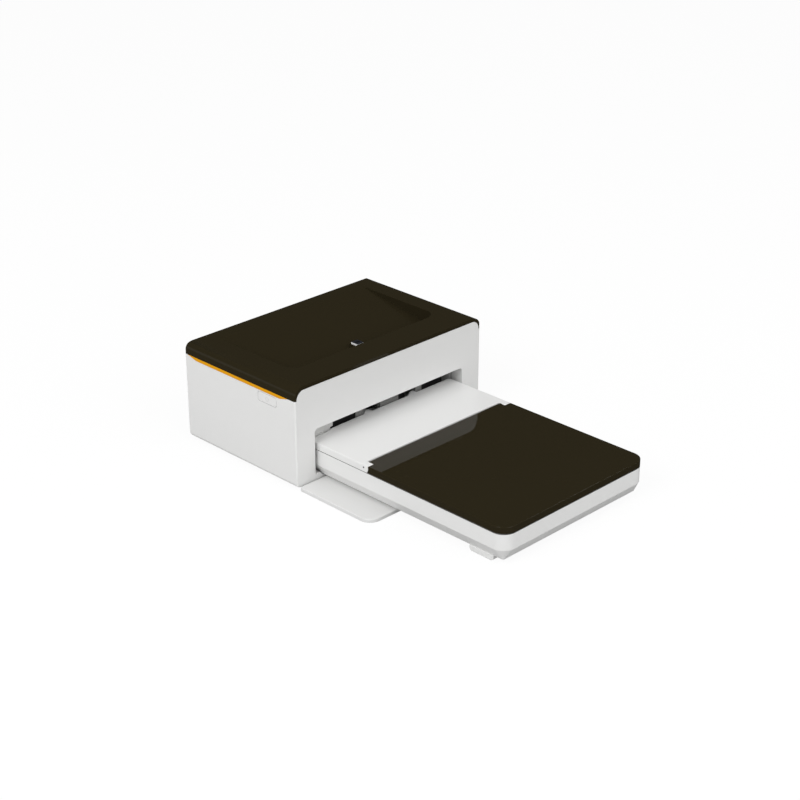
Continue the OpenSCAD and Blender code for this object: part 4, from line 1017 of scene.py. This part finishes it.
@dataclass
class Studio:
    """The pale floor, the soft light and the background."""

    floor_half: float = 3.0
    shadow_share: float = 0.08
    ambient: float = 0.5
    gloss: float = 0.05
    white: str = "#ffffff"
    gloss_tint: str = "#fff6d8"
    bounce: str = "#bcbcbc"
    # Shiny faces see the floor in a dim grey: a place across in metres, then the grey there
    dim_left: Tuple[float, float] = (-0.06, 0.10)
    dim_right: Tuple[float, float] = (0.02, 0.01)
    aim: Tuple[float, float, float] = (0, 0, 0.03)
    lamps: Tuple[Lamp, ...] = (
        Lamp("left", (-1.75, -0.2, 1.35), (1.1, 1.1), 26.9),
        Lamp("front", (0.25, -1.8, 1.25), (1.6, 1.6), 18.6),
        Lamp("back_strip", (-1.37, 1.41, 0.42), (0.6, 0.45), 0.5),
        Lamp("right_strip", (1.4, -1.35, 0.85), (0.2, 0.3), 1.6),
    )

    def build(self) -> None:
        """Builds the floor, the world and the lamps."""
        self.floor()
        self.world()
        for lamp in self.lamps:
            self.hang(lamp)

    def floor(self) -> None:
        """Builds the floor: white to the camera, with the object's soft shadow kept."""
        shape = bmesh.new()
        bmesh.ops.create_grid(shape, x_segments=1, y_segments=1, size=self.floor_half)
        mesh = bpy.data.meshes.new("studio_floor")
        shape.to_mesh(mesh)
        shape.free()
        mesh.materials.append(self.floor_paper())
        floor = bpy.data.objects.new("studio_floor", mesh)
        bpy.context.scene.collection.objects.link(floor)

    def floor_paper(self) -> bpy.types.Material:
        """Makes the floor's matt paper, whose tone depends on who looks at it.

        Returns:
            The material.
        """
        material = bpy.data.materials.new("studio_floor_paper")
        material.use_nodes = True
        tree = material.node_tree
        tree.nodes.clear()
        path = add_node(tree, "ShaderNodeLightPath")
        place = add_node(tree, "ShaderNodeTexCoord").outputs["Object"]
        across = add_node(tree, "ShaderNodeSeparateXYZ", links={0: place})
        dim = add_node(
            tree, "ShaderNodeMapRange",
            {"From Min": self.dim_left[0], "From Max": self.dim_right[0],
             "To Min": self.dim_left[1], "To Max": self.dim_right[1]},
            {"Value": across.outputs[0]},
        )
        bounce = add_node(
            tree, "ShaderNodeMix", {".data_type": "RGBA", 7: linear(self.bounce)},
            {0: path.outputs["Is Diffuse Ray"], 6: dim.outputs[0]},
        )
        tone = add_node(
            tree, "ShaderNodeMix", {".data_type": "RGBA", 7: linear(self.white)},
            {0: path.outputs["Is Camera Ray"], 6: bounce.outputs[2]},
        )
        paper = add_node(tree, "ShaderNodeBsdfDiffuse", links={"Color": tone.outputs[2]})
        white = add_node(
            tree, "ShaderNodeEmission", {"Color": linear(self.white), "Strength": 1.0}
        )
        seen = add_node(
            tree, "ShaderNodeMath", {".operation": "MAXIMUM"},
            {0: path.outputs["Is Camera Ray"], 1: path.outputs["Is Transmission Ray"]},
        )
        share = add_node(
            tree, "ShaderNodeMath", {".operation": "MULTIPLY", 1: 1 - self.shadow_share},
            {0: seen.outputs[0]},
        )
        with_gloss = add_node(
            tree, "ShaderNodeMath", {".operation": "MULTIPLY_ADD", 1: self.gloss / 2},
            {0: path.outputs["Is Glossy Ray"], 2: share.outputs[0]},
        )
        mix = add_node(
            tree, "ShaderNodeMixShader",
            links={0: with_gloss.outputs[0], 1: paper.outputs[0], 2: white.outputs[0]},
        )
        add_node(tree, "ShaderNodeOutputMaterial", links={"Surface": mix.outputs[0]})
        return material

    def world(self) -> None:
        """Builds the world: white to the camera, a plain soft light on the object."""
        world = bpy.data.worlds.new("studio")
        bpy.context.scene.world = world
        world.use_nodes = True
        tree = world.node_tree
        tree.nodes.clear()
        path = add_node(tree, "ShaderNodeLightPath")
        seen, light, gloss = (
            add_node(
                tree, "ShaderNodeBackground", {"Color": linear(colour), "Strength": strength}
            )
            for colour, strength in (
                (self.white, 1.0), (self.white, self.ambient), (self.gloss_tint, self.gloss)
            )
        )
        lit = add_node(
            tree, "ShaderNodeMixShader",
            links={0: path.outputs["Is Glossy Ray"], 1: light.outputs[0], 2: gloss.outputs[0]},
        )
        open_view = add_node(
            tree, "ShaderNodeMath", {".operation": "MAXIMUM"},
            {0: path.outputs["Is Camera Ray"], 1: path.outputs["Is Transmission Ray"]},
        )
        mix = add_node(
            tree, "ShaderNodeMixShader",
            links={0: open_view.outputs[0], 1: lit.outputs[0], 2: seen.outputs[0]},
        )
        add_node(tree, "ShaderNodeOutputWorld", links={"Surface": mix.outputs[0]})

    def hang(self, lamp: Lamp) -> None:
        """Hangs a soft lamp that faces the printer.

        Args:
            lamp: The lamp's place, size and power.
        """
        data = bpy.data.lights.new(lamp.name, "AREA")
        data.shape = "RECTANGLE"
        data.size, data.size_y = lamp.size
        data.energy = lamp.power
        hung = bpy.data.objects.new(lamp.name, data)
        hung.location = lamp.place
        way = Vector(self.aim) - Vector(lamp.place)
        hung.rotation_euler = way.to_track_quat("-Z", "Y").to_euler()
        bpy.context.scene.collection.objects.link(hung)


@dataclass
class StudioCamera:
    """The studio's camera, at the front left and above the printer."""

    place: Tuple[float, float, float] = (-0.7446864, -0.7287870, 0.5326002)
    yaw_deg: float = -44.91608
    pitch_deg: float = 25.12468
    lens_mm: float = 80.5587
    sensor_mm: float = 36.0
    nearest: float = 0.05
    farthest: float = 20.0

    def build(self) -> None:
        """Adds the camera and makes it the scene's."""
        yaw, pitch = math.radians(self.yaw_deg), math.radians(self.pitch_deg)
        ahead = Vector((-math.sin(yaw) * math.cos(pitch), math.cos(yaw) * math.cos(pitch),
                        -math.sin(pitch)))
        right = Vector((math.cos(yaw), math.sin(yaw), 0))
        up = right.cross(ahead)
        turn = Matrix((right, up, -ahead)).transposed()
        data = bpy.data.cameras.new("studio_camera")
        data.lens = self.lens_mm
        data.sensor_width = self.sensor_mm
        data.clip_start, data.clip_end = self.nearest, self.farthest
        camera = bpy.data.objects.new("studio_camera", data)
        camera.matrix_world = Matrix.Translation(self.place) @ turn.to_4x4()
        bpy.context.scene.collection.objects.link(camera)
        bpy.context.scene.camera = camera


def main() -> None:
    """Builds the printer's looks, the studio and the camera, in order."""
    logging.basicConfig(level=logging.INFO, format="%(name)s: %(message)s")
    bpy.context.scene.view_settings.view_transform = "Standard"
    for part in (Casing(), PowerButton(), DockConnector(), PaperTray(), Engine(), Studio(),
                 StudioCamera()):
        LOG.info("building %s", type(part).__name__)
        part.build()


if __name__ == "__main__":
    main()
